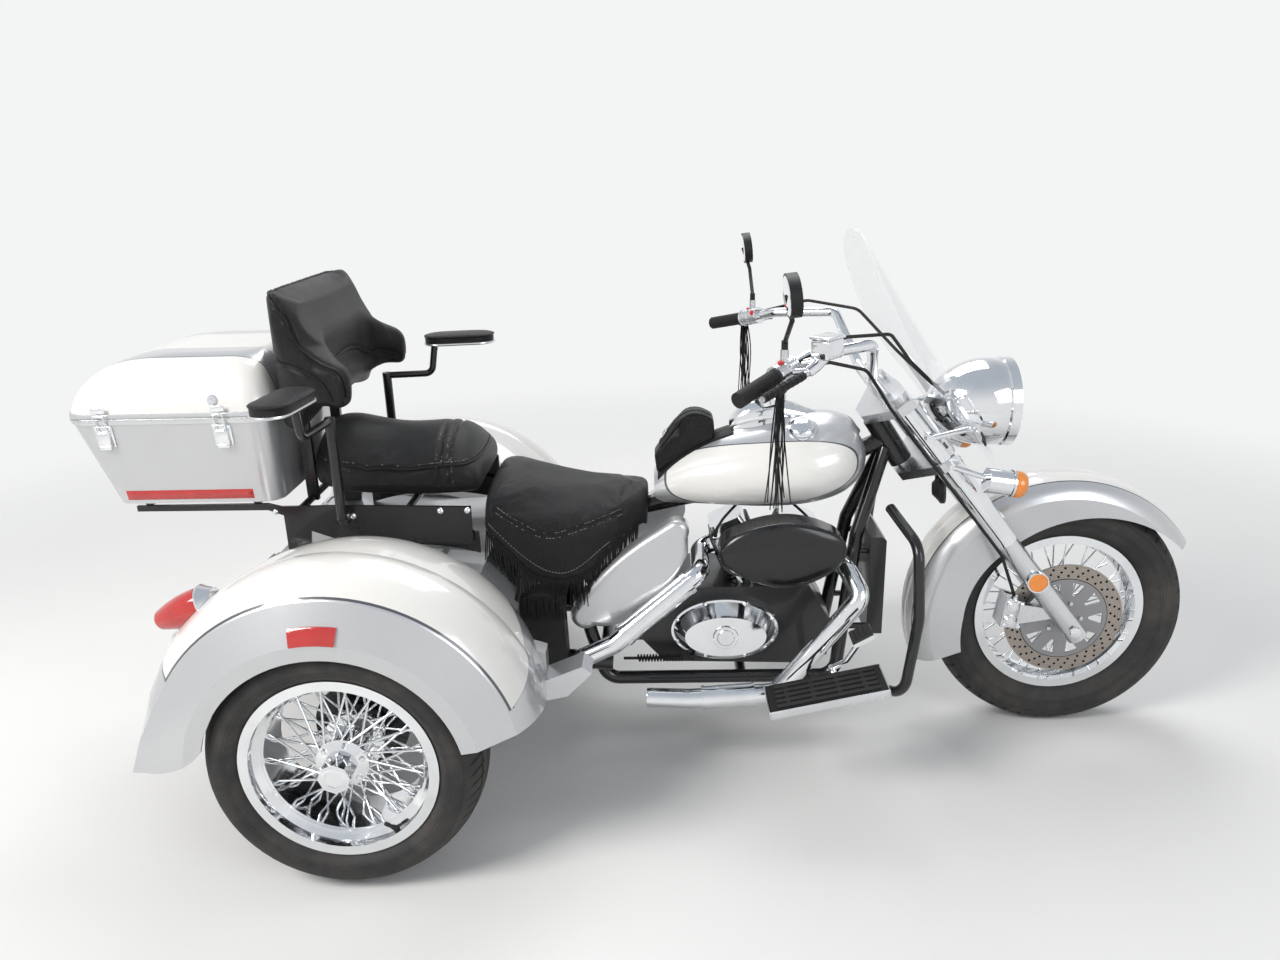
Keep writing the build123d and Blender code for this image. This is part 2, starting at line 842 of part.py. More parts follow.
case_outer = loft([
    case_ring(case_low, case_front - 12, case_rear + 68, case_half_low, 40),
    case_ring(case_split, case_front, case_rear, case_half_top, 50),
])
inner_low = case_low + case_wall
inner_front = case_front - 12 - case_wall
inner_rear = case_rear + 67 + case_wall
case_inner = loft([
    case_ring(inner_low, inner_front, inner_rear, case_half_low - case_wall, 35),
    case_ring(case_split + 1, case_front - case_wall, case_rear + case_wall, case_half_top - case_wall, 45),
])
lid_low = case_split + 1.0
lid_outer = loft([
    case_ring(lid_low, case_front, case_rear, case_half_top, 50),
    case_ring(lid_low + 40, case_front - 8, case_rear + 12, case_half_top - 8, 50),
    case_ring(lid_low + 128, case_front - 60, case_rear + 190, case_half_top - 120, 60),
])
lid_inner = loft([
    case_ring(lid_low - 1, case_front - case_wall, case_rear + case_wall, case_half_top - case_wall, 45),
    case_ring(lid_low + 37, case_front - 14, case_rear + 18, case_half_top - 14, 45),
    case_ring(lid_low + 122, case_front - 68, case_rear + 198, case_half_top - 128, 52),
])
case = case_outer - case_inner
lid = lid_outer - lid_inner
lid_pin_y = case_half_top + 7.5
lid_pin_z = case_split + 0.5
for x in (-1000, -1225):
    case += rod((x - 30, lid_pin_y, lid_pin_z), (x + 30, lid_pin_y, lid_pin_z), 2.5)
    for end in (x - 30, x + 25):
        case += rod((end, lid_pin_y, lid_pin_z), (end + 5, lid_pin_y, lid_pin_z), 5)
        case += Pos(end + 2.5, case_half_top + 1.5, lid_pin_z - 5) * Box(5, 9, 8)
    lid += rod((x - 24.4, lid_pin_y, lid_pin_z), (x + 24.4, lid_pin_y, lid_pin_z), 5.5)
    lid += Pos(x, case_half_top + 1.5, lid_pin_z + 3.6) * Box(48.8, 9, 5)
    lid -= rod((x - 26, lid_pin_y, lid_pin_z), (x + 26, lid_pin_y, lid_pin_z), 2.5 + bearing_gap)
node("top_case", case)
node("case_lid", lid)

# Armrests that swing on the rack's posts
pad_low = 1008.0
arm_z = 928.0


def armrest(turn, side):
    reach = 135 - 12 * side
    arm = rod((0, 0, post_top), (0, 0, arm_z + 8), 12)
    arm += tube(9, 22, (0, 0, arm_z), (reach, 0, arm_z), (reach + 12, 0, pad_low - seat_gap - 8))
    arm += rod((reach + 12, 0, pad_low - 16), (reach + 12, 0, pad_low - seat_gap), 9)
    arm -= rod((0, 0, post_top - 1), (0, 0, post_top + 27), 5 + bearing_gap)
    pad = Pos(205, 0, pad_low) * extrude(SlotOverall(190, 88), 30)
    swing = Rot(0, 0, turn)
    return [Pos(post_x, post_y * side, 0) * (swing * piece) for piece in (arm, pad)]


left_arm, left_pad = armrest(8, 1)
right_arm, right_pad = armrest(-95, -1)
node("armrest_left", left_arm)
node("arm_pad_left", left_pad)
node("armrest_right", right_arm)
node("arm_pad_right", right_pad)

# Tail lamps on the rear of each fender
lamp_y = 550.0
lamp_r = 36.0
lamp_long = 118.0
lamp_start = Vector(-944, lamp_y, 626)
lamp_dir = Vector(-131, 0, -51).normalized()
lamp_place = Plane(origin=lamp_start, x_dir=lamp_dir, z_dir=(0, 1, 0))
lens_face = outline(
    Plane.XY,
    (0, 0),
    (lamp_long, 0),
    (lamp_long - 2, lamp_r - 20, lamp_long - 12, lamp_r - 13),
    (lamp_long * 0.55, lamp_r - 2, 0, lamp_r),
)
lens = lamp_place * revolve(lens_face, Axis.X)
collar_face = outline(Plane.XY, (-24, 0), (-24, 24), (-seat_gap, lamp_r + 3), (-seat_gap, 0))
bezel = lamp_place * revolve(collar_face, Axis.X)
lens_room = rod(lamp_start, lamp_start + lamp_dir * 130, lamp_r + seat_gap)
bezel += rod((-990, lamp_y, 590), (-1012, lamp_y, 520), 26) - lens_room
grown = [(*mark[:-2], mark[-2] + seat_gap, mark[-1]) for mark in fender_marks(0)[:4]]
grown = [mark if len(mark) == 2 else (mark[0] + seat_gap, *mark[1:]) for mark in grown]
under = hoop(rear_axle_x, rear_tyre_r, 110, 160, *grown, (200, shoulder_y), (200, 250))
node("tail_lamps", twin(lens - under))
node("lamp_bases", twin(bezel - under))

# Engine guard, floorboards and foot controls
guard_r = 13.0
guard = tube(
    guard_r, 60,
    (566, 96, 640),
    (600, 250, 600),
    (598, 300, 440),
    (575, 300, 240),
    (480, 138, 178),
)
node("engine_guard", twin(guard))
board_in = 335.0
board = slab(board_in, 450, (502, 323), (502, 341), (239, 285), (239, 267))
bracket_foot = Vector(370, cradle_y, cradle_z)
bracket_head = Vector(370, 350, 302)
foot_gap = (bracket_head - bracket_foot).normalized() * (frame_r + seat_gap)
board += rod(bracket_foot + foot_gap, bracket_head, 9)
node("floorboards", twin(board))
pedal = across(8, 400, 310, -board_in + seat_gap, -293)
pedal += tube(7, 16, (400, -300, 312), (430, -318, 340), (462, -320, 398))
pedal += slab(-355, -300, (440, 392), (486, 418), (482, 427), (436, 401))
lever = across(8, 400, 310, 293, board_in - seat_gap)
lever += tube(7, 16, (400, 300, 312), (430, 318, 330), (490, 320, 372))
lever += across(12, 490, 372, 318, 372)
node("foot_controls", pedal, lever)

# Triple clamps and steering stem
def clamp_plate(t):
    back = -axis_behind_fork(t)
    span = fork_half_spread + plate_over
    plate = fork_plane(t - plate_t / 2) * make_face([
        Line((back - plate_behind, -36), (-20, -span)),
        Line((-20, -span), (24, -span)),
        Line((24, -span), (plate_ahead, 0)),
        Line((plate_ahead, 0), (24, span)),
        Line((24, span), (-20, span)),
        Line((-20, span), (back - plate_behind, 36)),
        Line((back - plate_behind, 36), (back - plate_behind, -36)),
    ])
    return extrude(plate, plate_t)


clamps = clamp_plate(lower_t) + clamp_plate(upper_t)
clamps += rod(on_steer(850), on_steer(1046), stem_r)
for side in (-1, 1):
    y = side * fork_half_spread
    clamps += rod(on_fork(upper_t, y), on_fork(774, y), 22)
node("triple_clamps", clamps)

# Fork: polished legs below, chrome covers above
fender_half = 84.0
leg_r = 27.0
leg_top = 300.0
cover_r = 31.0
upper_cover_r = 34.0
legs = []
fork_covers = []
for side in (-1, 1):
    y = side * fork_half_spread
    leg = rod(on_fork(-34, y), on_fork(leg_top, y), leg_r)
    boss = on_fork(285)
    leg += across(14, boss.X, boss.Z, side * (fender_half + seat_gap), side * fork_half_spread)
    leg -= across(front_axle_r + bearing_gap, front_axle_x, front_tyre_r, -160, 160)
    legs.append(leg)
    lower_cover = rod(on_fork(leg_top + seat_gap, y), on_fork(505, y), cover_r)
    lower_cover += rod(on_fork(505, y), on_fork(lower_t - plate_t / 2 - seat_gap, y), upper_cover_r)
    upper_foot = on_fork(lower_t + plate_t / 2 + seat_gap, y)
    upper_cover = rod(upper_foot, on_fork(upper_t - plate_t / 2 - seat_gap, y), upper_cover_r)
    fork_covers += [lower_cover, upper_cover]
node("fork_legs", legs)
node("fork_covers", fork_covers)
front_spindle = across(front_axle_r, front_axle_x, front_tyre_r, -150, 150)
for side in (-1, 1):
    inner = side * (front_hub_half + seat_gap)
    outer = side * (fork_half_spread - leg_r - seat_gap)
    front_spindle += across(16, front_axle_x, front_tyre_r, inner, outer)
front_spindle -= across(front_axle_bore_r, front_axle_x, front_tyre_r, -151, 151)
node("front_axle", front_spindle)

# Front fender: a deep skirted arch between the fork legs
fender_x = front_axle_x - 15
fender_r = 372.0
front_fender = hoop(
    fender_x, front_tyre_r, 33, 200,
    (245, fender_half),
    (330, fender_half),
    (362, 62, fender_r + 3, 0),
    (362, -62, 330, -fender_half),
    (245, -fender_half),
    (245, -fender_half + 3),
    (330, -fender_half + 3),
    (359, -60, fender_r, 0),
    (359, 60, 330, fender_half - 3),
    (245, fender_half - 3),
)
skirt_cut = across(315, front_axle_x + 52, front_tyre_r - 35, -100, 100)
node("front_fender", front_fender - skirt_cut)

# Headlight: a bullet shell on a neck from the lower clamp
lamp_z = 883.0
lamp_x = 835.0
shell_long = 180.0
shell_r = 106.0


def bullet(grow):
    """Headlight shell with its front ring, larger all round by grow."""
    long = shell_long + grow
    wide = shell_r + grow
    face = outline(
        Plane.XY,
        (-long, 0),
        (-long * 0.7071, wide * 0.7071, 0, wide),
        (4, wide + 4),
        (26, wide + 4),
        (28, wide - 6),
        (36, 52),
        (39, 0),
    )
    return Pos(lamp_x, 0, lamp_z) * revolve(face, Axis.X)


shell = bullet(0)
shell += rod(on_fork(lower_t, 0, plate_ahead + seat_gap), on_fork(lower_t, 0, plate_ahead + 36), 10)
node("headlight", shell)

# Front signals on stalks from the lower clamp
signals = []
stalk_root = on_fork(lower_t, 0, 2)
for side in (-1, 1):
    inner, outer = sorted((side * (fork_half_spread + plate_over + seat_gap), side * 178))
    stalk = across(8, stalk_root.X, stalk_root.Z, inner, outer)
    stalk += rod((stalk_root.X, side * 172, stalk_root.Z), (790, side * 204, 741), 7)
    bulb = rod((757, side * 205, 746), (838, side * 205, 733), 30)
    signals.append(bulb + stalk)
node("front_signals", signals)

# Windshield: a curved clear sheet with a bay for the headlight
shield_foot = Vector(815, 0, 782)
shield_top = Vector(475, 0, 1303)
shield_mid = (shield_foot + shield_top) / 2
shield_up = (shield_top - shield_foot).normalized()
shield_out = Vector(shield_up.Z, 0, -shield_up.X)
shield_r = 605.0
shield_t = 4.5
half_tall = (shield_top - shield_foot).length / 2
shield_axis = Plane(origin=shield_mid - shield_out * shield_r - shield_up * (half_tall + 20), z_dir=shield_up)
curved = shield_axis * (
    Cylinder(shield_r, 2 * half_tall + 40, align=(Align.CENTER, Align.CENTER, Align.MIN))
    - Cylinder(shield_r - shield_t, 2 * half_tall + 40, align=(Align.CENTER, Align.CENTER, Align.MIN))
)
shield_face = outline(
    Plane(origin=shield_mid - shield_out * 80, x_dir=(0, 1, 0), z_dir=shield_out),
    (0, half_tall),
    (150, half_tall - 25, 225, half_tall - 130),
    (262, 40, 240, -120),
    (225, -200, 195, -half_tall + 20),
    (132, -half_tall + 20),
    (0, -62, -132, -half_tall + 20),
    (-195, -half_tall + 20),
    (-225, -200, -240, -120),
    (-262, 40, -225, half_tall - 130),
    (-150, half_tall - 25, 0, half_tall),
)
windshield = curved & extrude(shield_face, 100)
node("windshield", windshield)


def in_shield(angle, rise, gap):
    """Point behind the windshield's inner face, turned to one side, at a rise above its middle."""
    ray = shield_out * cos(radians(angle)) + Vector(0, sin(radians(angle)), 0)
    return shield_mid + shield_up * rise - shield_out * shield_r + ray * (shield_r - shield_t - gap)


brackets = []
pad_angle = 16.0
pad_rise = -197.0
bracket_root = on_fork(655)
for side in (-1, 1):
    face = in_shield(pad_angle * side, pad_rise, 0.6)
    behind = in_shield(pad_angle * side, pad_rise, 6)
    inner, outer = sorted((side * (fork_half_spread + upper_cover_r + seat_gap), side * 172))
    bar = across(10, bracket_root.X, bracket_root.Z, inner, outer)
    bar += rod((bracket_root.X, side * 165, bracket_root.Z), behind, 7)
    bar += rod(behind, face, 14)
    brackets.append(bar)
node("windshield_brackets", brackets)

# Handlebar with risers, grips, controls and mirrors
bar_r = 12.7
grip_r = 17.0
grip_in = (239, 390, 1041)
grip_out = (157, 477, 1014)
grip_vec = Vector(*grip_out) - Vector(*grip_in)


def along_grip(d, side, lift=0.0, ahead=0.0):
    """Point on the grip's line at distance d from its inner end."""
    spot = Vector(*grip_in) + grip_vec.normalized() * d + Vector(ahead, 0, lift)
    return (spot.X, spot.Y * side, spot.Z)


riser_top = 832.0
bar_mid = on_fork(riser_top, 0, -20)
left_bar = [
    (bar_mid.X, 0, bar_mid.Z),
    (bar_mid.X, 80, bar_mid.Z),
    (470, 240, 1076),
    along_grip(-120, 1),
    along_grip(-62, 1),
]
bar = tube(bar_r, 30, *left_bar)
bar_pair = twin(bar)
bar_all = bar_pair[0] + bar_pair[1]
for side in (-1, 1):
    riser_foot = on_fork(upper_t + plate_t / 2 + seat_gap, side * 48, -20)
    bar_all += rod(riser_foot, on_fork(riser_top + 6, side * 48, -20), 16)
node("handlebar", bar_all)
grips = []
controls = []
mirrors = []
for side in (-1, 1):
    grips.append(rod(along_grip(0, side), along_grip(122, side), grip_r))
    housing = rod(along_grip(-61, side), along_grip(-seat_gap, side), 22)
    housing += rod(along_grip(-20, side), along_grip(-26, side, 0, 62), 9)
    blade_in = Vector(*along_grip(-26, side, 0, 58))
    blade_out = Vector(*along_grip(118, side, 0, 46))
    housing += rod(blade_in, blade_out, 7)
    housing += rod(along_grip(-34, side, 12), along_grip(-34, side, 46), 9)
    controls.append(housing)
    stem = rod(along_grip(-34, side, 46.4), along_grip(-34, side, 64), 7)
    stem += rod(along_grip(-34, side, 60), (262, side * 470, 1170), 5)
    stem += rod((262, side * 470, 1170), (246, side * 508, 1223), 5)
    glass = Plane(origin=(246, side * 508, 1223), x_dir=(0, 1, 0), z_dir=(1, 0, 0.1))
    mirrors.append(stem + glass * extrude(Ellipse(64, 42), 22))
node("grips", grips)
node("hand_controls", controls)
node("mirrors", mirrors)

# Front brake caliper and fork reflectors
disc_face = front_disc_t / 2 + running_gap
caliper_marks = [(858, 318), (870, 400), (915, 385), (905, 312)]
caliper = slab(-112, front_disc_y - disc_face, *caliper_marks)
caliper += slab(front_disc_y + disc_face, -54, *caliper_marks)
caliper += slab(-112, -54, (858, 318), (870, 400), (875, 398.5), (863, 317))
caliper += slab(-122, -106, (896, 330), (902, 384), (1000, 366), (1000, 346))
right_leg = rod(on_fork(-34, -fork_half_spread), on_fork(leg_top, -fork_half_spread), leg_r + seat_gap)
caliper = max((caliper - right_leg).solids(), key=lambda piece: piece.volume)
node("front_caliper", caliper)
reflectors = []
for side in (-1, 1):
    back = on_fork(175, side * (fork_half_spread + leg_r + seat_gap))
    reflectors.append(rod(back, on_fork(175, side * (fork_half_spread + leg_r + 9)), 24))
node("fork_reflectors", reflectors)

# Cables from the hand controls into the headlight shell, and the front brake's hose
cable_r = 4.0
cables = []
for side in (-1, 1):
    cable = tube(
        cable_r, 60,
        along_grip(-46.5, side, 13, 21),
        along_grip(-150, side, 28, 62),
        (520, side * 190, 1090),
        (600, side * 74, 1000),
        (715, side * 40, 893),
    )
    cables.append(cable - bullet(seat_gap))
node("control_cables", cables)
hose_y = -165.0
hose_behind = -30.0
hose = tube(
    cable_r, 50,
    along_grip(-54, -1, -10, 17.5),
    along_grip(-140, -1, -22, 34),
    (470, -196, 1010),
    tuple(on_fork(upper_t + 30, hose_y, hose_behind)),
    tuple(on_fork(leg_top, hose_y, hose_behind)),
    (893, -98, 396),
)
node("brake_hose", hose)


os.makedirs("parts", exist_ok=True)
for name, shape in parts.items():
    export_step(shape, f"parts/{name}.step")
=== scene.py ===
import random
from math import atan2, cos, exp, pi, radians, sin

import bmesh
import bpy
from mathutils import Matrix, Vector
from mathutils.bvhtree import BVHTree
from mathutils.kdtree import KDTree


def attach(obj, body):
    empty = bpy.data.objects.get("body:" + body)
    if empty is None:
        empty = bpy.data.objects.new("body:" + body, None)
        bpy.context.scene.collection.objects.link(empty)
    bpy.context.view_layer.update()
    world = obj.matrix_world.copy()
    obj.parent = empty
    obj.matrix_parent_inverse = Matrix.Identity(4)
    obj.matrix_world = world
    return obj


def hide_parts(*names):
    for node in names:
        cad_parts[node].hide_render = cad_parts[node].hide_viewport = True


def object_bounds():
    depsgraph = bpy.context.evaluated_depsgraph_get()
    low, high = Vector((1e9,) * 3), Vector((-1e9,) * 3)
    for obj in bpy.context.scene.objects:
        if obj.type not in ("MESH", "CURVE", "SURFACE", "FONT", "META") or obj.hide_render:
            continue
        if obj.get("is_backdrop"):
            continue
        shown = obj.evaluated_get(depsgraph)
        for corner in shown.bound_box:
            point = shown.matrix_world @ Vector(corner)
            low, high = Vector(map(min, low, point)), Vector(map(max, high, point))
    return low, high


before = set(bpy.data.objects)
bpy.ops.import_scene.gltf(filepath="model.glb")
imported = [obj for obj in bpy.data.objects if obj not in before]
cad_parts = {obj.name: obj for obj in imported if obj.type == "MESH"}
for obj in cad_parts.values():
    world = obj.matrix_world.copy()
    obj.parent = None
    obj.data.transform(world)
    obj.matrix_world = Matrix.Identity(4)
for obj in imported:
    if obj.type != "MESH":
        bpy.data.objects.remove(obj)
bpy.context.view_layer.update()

# The studio
# The vehicle stands on a pale floor that fades into a pale room, under broad soft lamps.
# The camera stands to the right of the vehicle, at head height, looking a little down.
yaw, pitch, roll = radians(1.605), radians(18.442), radians(-1.498)
sensor_mm, focal_px, picture_px = 36, 963.89, 1280
ahead = Vector((-sin(yaw) * cos(pitch), cos(yaw) * cos(pitch), -sin(pitch)))
level = Vector((cos(yaw), sin(yaw), 0))
upright = level.cross(ahead)
right = level * cos(roll) + upright * sin(roll)
top = upright * cos(roll) - level * sin(roll)
eye = Matrix.Translation((0.011, -2.348, 1.476))
camera = bpy.data.objects.new("camera", bpy.data.cameras.new("camera"))
camera.data.sensor_width = sensor_mm
camera.data.lens = sensor_mm * focal_px / picture_px
camera.data.clip_end = 200
camera.matrix_world = eye @ Matrix((right, top, -ahead)).transposed().to_4x4()
bpy.context.scene.collection.objects.link(camera)
bpy.context.scene.camera = camera
bpy.context.scene.view_settings.view_transform = "Standard"


def maths(operation):
    """A sign of arithmetic that adds a Math node."""
    return lambda tone, *others: tone.math(operation, *others)


class Tone:
    """A value or colour inside a finish. Arithmetic on it adds Math nodes."""

    def __init__(self, socket):
        self.socket = socket

    def node(self, kind, sockets={}, out=0, **settings):
        """Adds a node of a kind, with its settings first and then its values or links."""
        tree = self.socket.id_data
        made = tree.nodes.new("ShaderNode" + kind)
        for key, value in settings.items():
            setattr(made, key, value)
        for key, value in sockets.items():
            if isinstance(value, Tone):
                tree.links.new(value.socket, made.inputs[key])
            else:
                made.inputs[key].default_value = value
        return Tone(made.outputs[out])

    def out(self, name):
        return Tone(self.socket.node.outputs[name])

    def math(self, operation, *others):
        return self.node("Math", dict(enumerate((self, *others))), operation=operation)

    __add__ = __radd__ = maths("ADD")
    __mul__ = __rmul__ = maths("MULTIPLY")
    __sub__ = maths("SUBTRACT")
    __truediv__ = maths("DIVIDE")
    __pow__ = maths("POWER")
    __gt__ = maths("GREATER_THAN")
    __abs__ = maths("ABSOLUTE")
    __or__ = maths("MAXIMUM")
    __and__ = maths("MINIMUM")

    def __rsub__(self, other):
        return self * -1 + other

    def rise(self, low, high):
        """0 below low and 1 above high, smooth between them."""
        sockets = {"Value": self, "From Min": low, "From Max": high}
        return self.node("MapRange", sockets, interpolation_type="SMOOTHSTEP")

    def fall(self, low, high):
        return 1 - self.rise(low, high)

    def line(self, at, half):
        """1 on a thin line at a value, 0 away from it."""
        return abs(self - at).fall(half * 0.7, half * 1.3)

    def reach(self, other):
        """The distance that two offsets make."""
        return (self * self + other * other) ** 0.5

    def mix(self, under, over):
        """A colour that goes from under to over as this mask goes from 0 to 1."""
        under, over = (c if isinstance(c, Tone) else (*c, 1) for c in (under, over))
        return self.node("Mix", {0: self, 6: under, 7: over}, 2, data_type="RGBA")

    def split(self):
        """The X, Y and Z of a vector."""
        x = self.node("SeparateXYZ", {0: self})
        return x, x.out("Y"), x.out("Z")

    def noise(self, scale, detail=3.0, rough=0.5):
        sockets = {"Vector": self, "Scale": scale, "Detail": detail, "Roughness": rough}
        return self.node("TexNoise", sockets)

    def bump(self, distance, strength=1.0):
        return self.node("Bump", {"Height": self, "Distance": distance, "Strength": strength})


room = bpy.data.worlds.new("room")
bpy.context.scene.world = room
room.use_nodes = True
room.node_tree.nodes.clear()
surface = Tone(room.node_tree.nodes.new("ShaderNodeOutputWorld").inputs["Surface"])
rays = surface.node("LightPath", out="Is Camera Ray")
seen = rays | rays.out("Is Glossy Ray") | rays.out("Is Transmission Ray")
height = surface.node("TexCoord", out="Generated").split()[2]
sky = height.rise(0.12, 0.95).mix((0.90, 0.905, 0.91), (0.50, 0.54, 0.60))
soft = surface.node("Background", {"Color": (0.93, 0.95, 1.0, 1), "Strength": 0.34})
pale = surface.node("Background", {"Color": sky, "Strength": 1.0})
air = surface.node("MixShader", {0: seen, 1: soft, 2: pale})
room.node_tree.links.new(air.socket, surface.socket)


def circle(count, shift=0.0):
    """(cos, sin) pairs evenly round a circle, from a shift in radians."""
    turns = [2 * pi * i / count + shift for i in range(count)]
    return [(cos(a), sin(a)) for a in turns]


def build(name, forms, finish, body, crisp=35):
    """One piece from (points, faces) forms, on a body, with its finish and material slot."""
    points, faces = [], []
    for form_points, form_faces in forms:
        faces += [tuple(len(points) + i for i in face) for face in form_faces]
        points += [tuple(p) for p in form_points]
    mesh = bpy.data.meshes.new(name)
    mesh.from_pydata(points, [], faces)
    mesh.validate()
    mesh.polygons.foreach_set("use_smooth", [True] * len(mesh.polygons))
    mesh.set_sharp_from_angle(angle=radians(crisp))
    piece = bpy.data.objects.new(name, mesh)
    bpy.context.scene.collection.objects.link(piece)
    mesh.materials.append(finish)
    if body:
        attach(piece, body)
    return piece


def start(name, **constants):
    """A new finish with constants on its shader, and its place in metres."""
    made = bpy.data.materials.new(name)
    made.use_nodes = True
    shader = made.node_tree.nodes["Principled BSDF"]
    for key, value in constants.items():
        shader.inputs[key.replace("_", " ")].default_value = value
    return made, Tone(shader.outputs[0]).node("TexCoord", out="Object")


def wear(made, **links):
    """Feeds what varies over the surface into the finish's shader."""
    shader = made.node_tree.nodes["Principled BSDF"]
    for key, value in links.items():
        made.node_tree.links.new(value.socket, shader.inputs[key.replace("_", " ")])
    return made


floor_radius, fade_from, fade_to = 9.2, 1.9, 4.4
floor_paint, spot = start("floor_paint", Roughness=0.9)
x, y, z = spot.split()
floor_tint = spot.noise(3.0).mix((0.80, 0.80, 0.79), (0.84, 0.84, 0.83))
wear(floor_paint, Base_Color=floor_tint, Alpha=x.reach(y).fall(fade_from, fade_to))
ring = [(c * floor_radius, s * floor_radius, 0) for c, s in circle(96)]
floor = build("floor", [(ring, [tuple(range(96))])], floor_paint, None)
floor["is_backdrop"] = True
aim = Vector((0, 0, 0.5))
for place, size, watts, tint in (
    ((-3.2, -2.6, 3.6), 1.8, 185, (1.0, 0.98, 0.95)),
    ((2.8, -3.4, 2.6), 2.2, 60, (0.95, 0.97, 1.0)),
    ((0.2, 2.6, 4.2), 3.0, 110, (1.0, 1.0, 1.0)),
):
    light = bpy.data.lights.new("softbox", "AREA")
    light.size = size
    light.energy = watts
    light.color = tint
    lamp = bpy.data.objects.new("softbox", light)
    lamp.location = place
    lamp.rotation_euler = (aim - lamp.location).to_track_quat("-Z", "Y").to_euler()
    bpy.context.scene.collection.objects.link(lamp)


# Tyres
# Three black rubber tyres: a ribbed cruiser tyre in front and two wide car tyres behind.
# Their treads are moulded in, with painted shade darkening the grooves, and dust lies in the sidewalls.
def tyre_rubber(name, x, y, z, radius, half_width, blocks, ribs):
    made, spot = start(name, Specular_IOR_Level=0.35)
    px, py, pz = spot.split()
    px, py, pz = px - x, abs(py - y), pz - z
    r = px.reach(pz)
    slant = 7.0
    share = (pz.math("ARCTAN2", px) * blocks / (2 * pi) + py * slant).math("FRACT")
    cut = 1 - share.rise(0.0, 0.10) * share.fall(0.80, 0.9)
    groove = cut * (py > half_width * 0.42)
    for rib in ribs:
        groove = groove | py.line(rib, 0.0035)
    crown = (r - radius).rise(-0.026, -0.018)
    groove = groove * crown
    band = r.line(radius - 0.036, 0.0012)
    for below in (0.062, 0.068):
        band = band | r.line(radius - below, 0.0009)
    dust = spot.noise(9.0, 5.0, 0.65).rise(0.35, 0.75)
    tint = (dust * 0.8).mix((0.022, 0.022, 0.023), (0.075, 0.068, 0.060))
    height = 1 - groove + band * (1 - crown) * 0.35 + spot.noise(420.0) * 0.05
    return wear(
        made,
        # The grooves are coloured near black, darker than the dusty rubber: painted shade in the grooves.
        Base_Color=groove.mix(tint, (0.010, 0.010, 0.010)),
        Roughness=dust * 0.2 + 0.62,
        Normal=height.bump(0.006),
    )


def coat(finish, *names):
    """Gives CAD nodes a finish."""
    for name in names:
        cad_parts[name].data.materials.clear()
        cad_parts[name].data.materials.append(finish)


front_x, front_z, rear_x, rear_z, rear_y = 1.033, 0.320, -0.672, 0.297, 0.585
front_rubber = tyre_rubber("front_tyre_rubber", front_x, 0, front_z, front_z, 0.052, 46, (0.0, 0.018))
coat(front_rubber, "front_tyre")
for side, name in ((1, "left"), (-1, "right")):
    place = rear_x, side * rear_y, rear_z
    rear_rubber = tyre_rubber(name + "_tyre_rubber", *place, rear_z, 0.082, 64, (0.014, 0.045))
    coat(rear_rubber, "rear_tyre_" + name)


# Wire wheels
# Chromed steel rims and spokes, laced by hand and trued with nipples, with a rubber valve and
# a chromed hub cap held by six nuts on each rear wheel.
def bright(name, colour, roughness, smudge, pit=0.0):
    made, spot = start(name, Metallic=1.0)
    haze = spot.noise(14.0, 4.0, 0.6)
    specks = spot.noise(260.0, 2.0)
    dull = tuple(c * 0.82 for c in colour)
    return wear(
        made,
        Base_Color=(haze.rise(0.4, 0.8) * 0.5).mix(colour, dull),
        Roughness=haze * smudge + specks.rise(0.62, 0.7) * pit + roughness,
        Normal=(haze + specks * 0.1).bump(0.0004, 0.5),
    )


chrome = bright("chrome_plate", (0.80, 0.815, 0.83), 0.045, 0.07, 0.15)
alloy = bright("polished_alloy", (0.66, 0.67, 0.68), 0.20, 0.18, 0.1)
coat(chrome, "front_rim", "rear_rim_left", "rear_rim_right")


def tube(count, rings, capped=False):
    """Faces between rings of so many points each, and over both ends where it is capped."""
    faces = [
        (a + i, a + (i + 1) % count, a + count + (i + 1) % count, a + count + i)
        for a in range(0, (rings - 1) * count, count)
        for i in range(count)
    ]
    if capped:
        faces += [tuple(reversed(range(count))), tuple(range((rings - 1) * count, rings * count))]
    return faces


def lathe(profile, centre, axis, steps=32):
    """A turned form: (radius, along) pairs about an axis through a centre."""
    axis = Vector(axis).normalized()
    side = axis.orthogonal().normalized()
    other = axis.cross(side)
    points = [
        Vector(centre) + axis * along + (side * c + other * s) * r
        for r, along in profile
        for c, s in circle(steps)
    ]
    return points, tube(steps, len(profile))


def hexagon(centre, axis, r, h):
    """A hexagon bolt head with a chamfer."""
    return lathe([(0, h), (r * 0.75, h), (r, h * 0.8), (r, -0.001)], centre, axis, 6)


def dome(centre, axis, r, h):
    """A round bolt head with a socket in it."""
    socket = [(0, h * 0.4), (r * 0.35, h * 0.4), (r * 0.4, h)]
    return lathe([*socket, (r * 0.75, h * 0.8), (r, h * 0.3), (r, -0.001)], centre, axis, 16)


def mottled(name, scale, low, high, **constants):
    """What start gives, with a colour that wanders between two shades."""
    made, spot = start(name, **constants)
    return wear(made, Base_Color=spot.noise(scale).mix(low, high)), spot


def mm(*rows):
    """A table of millimetres in metres."""
    return [tuple(value / 1000 for value in row) for row in rows]


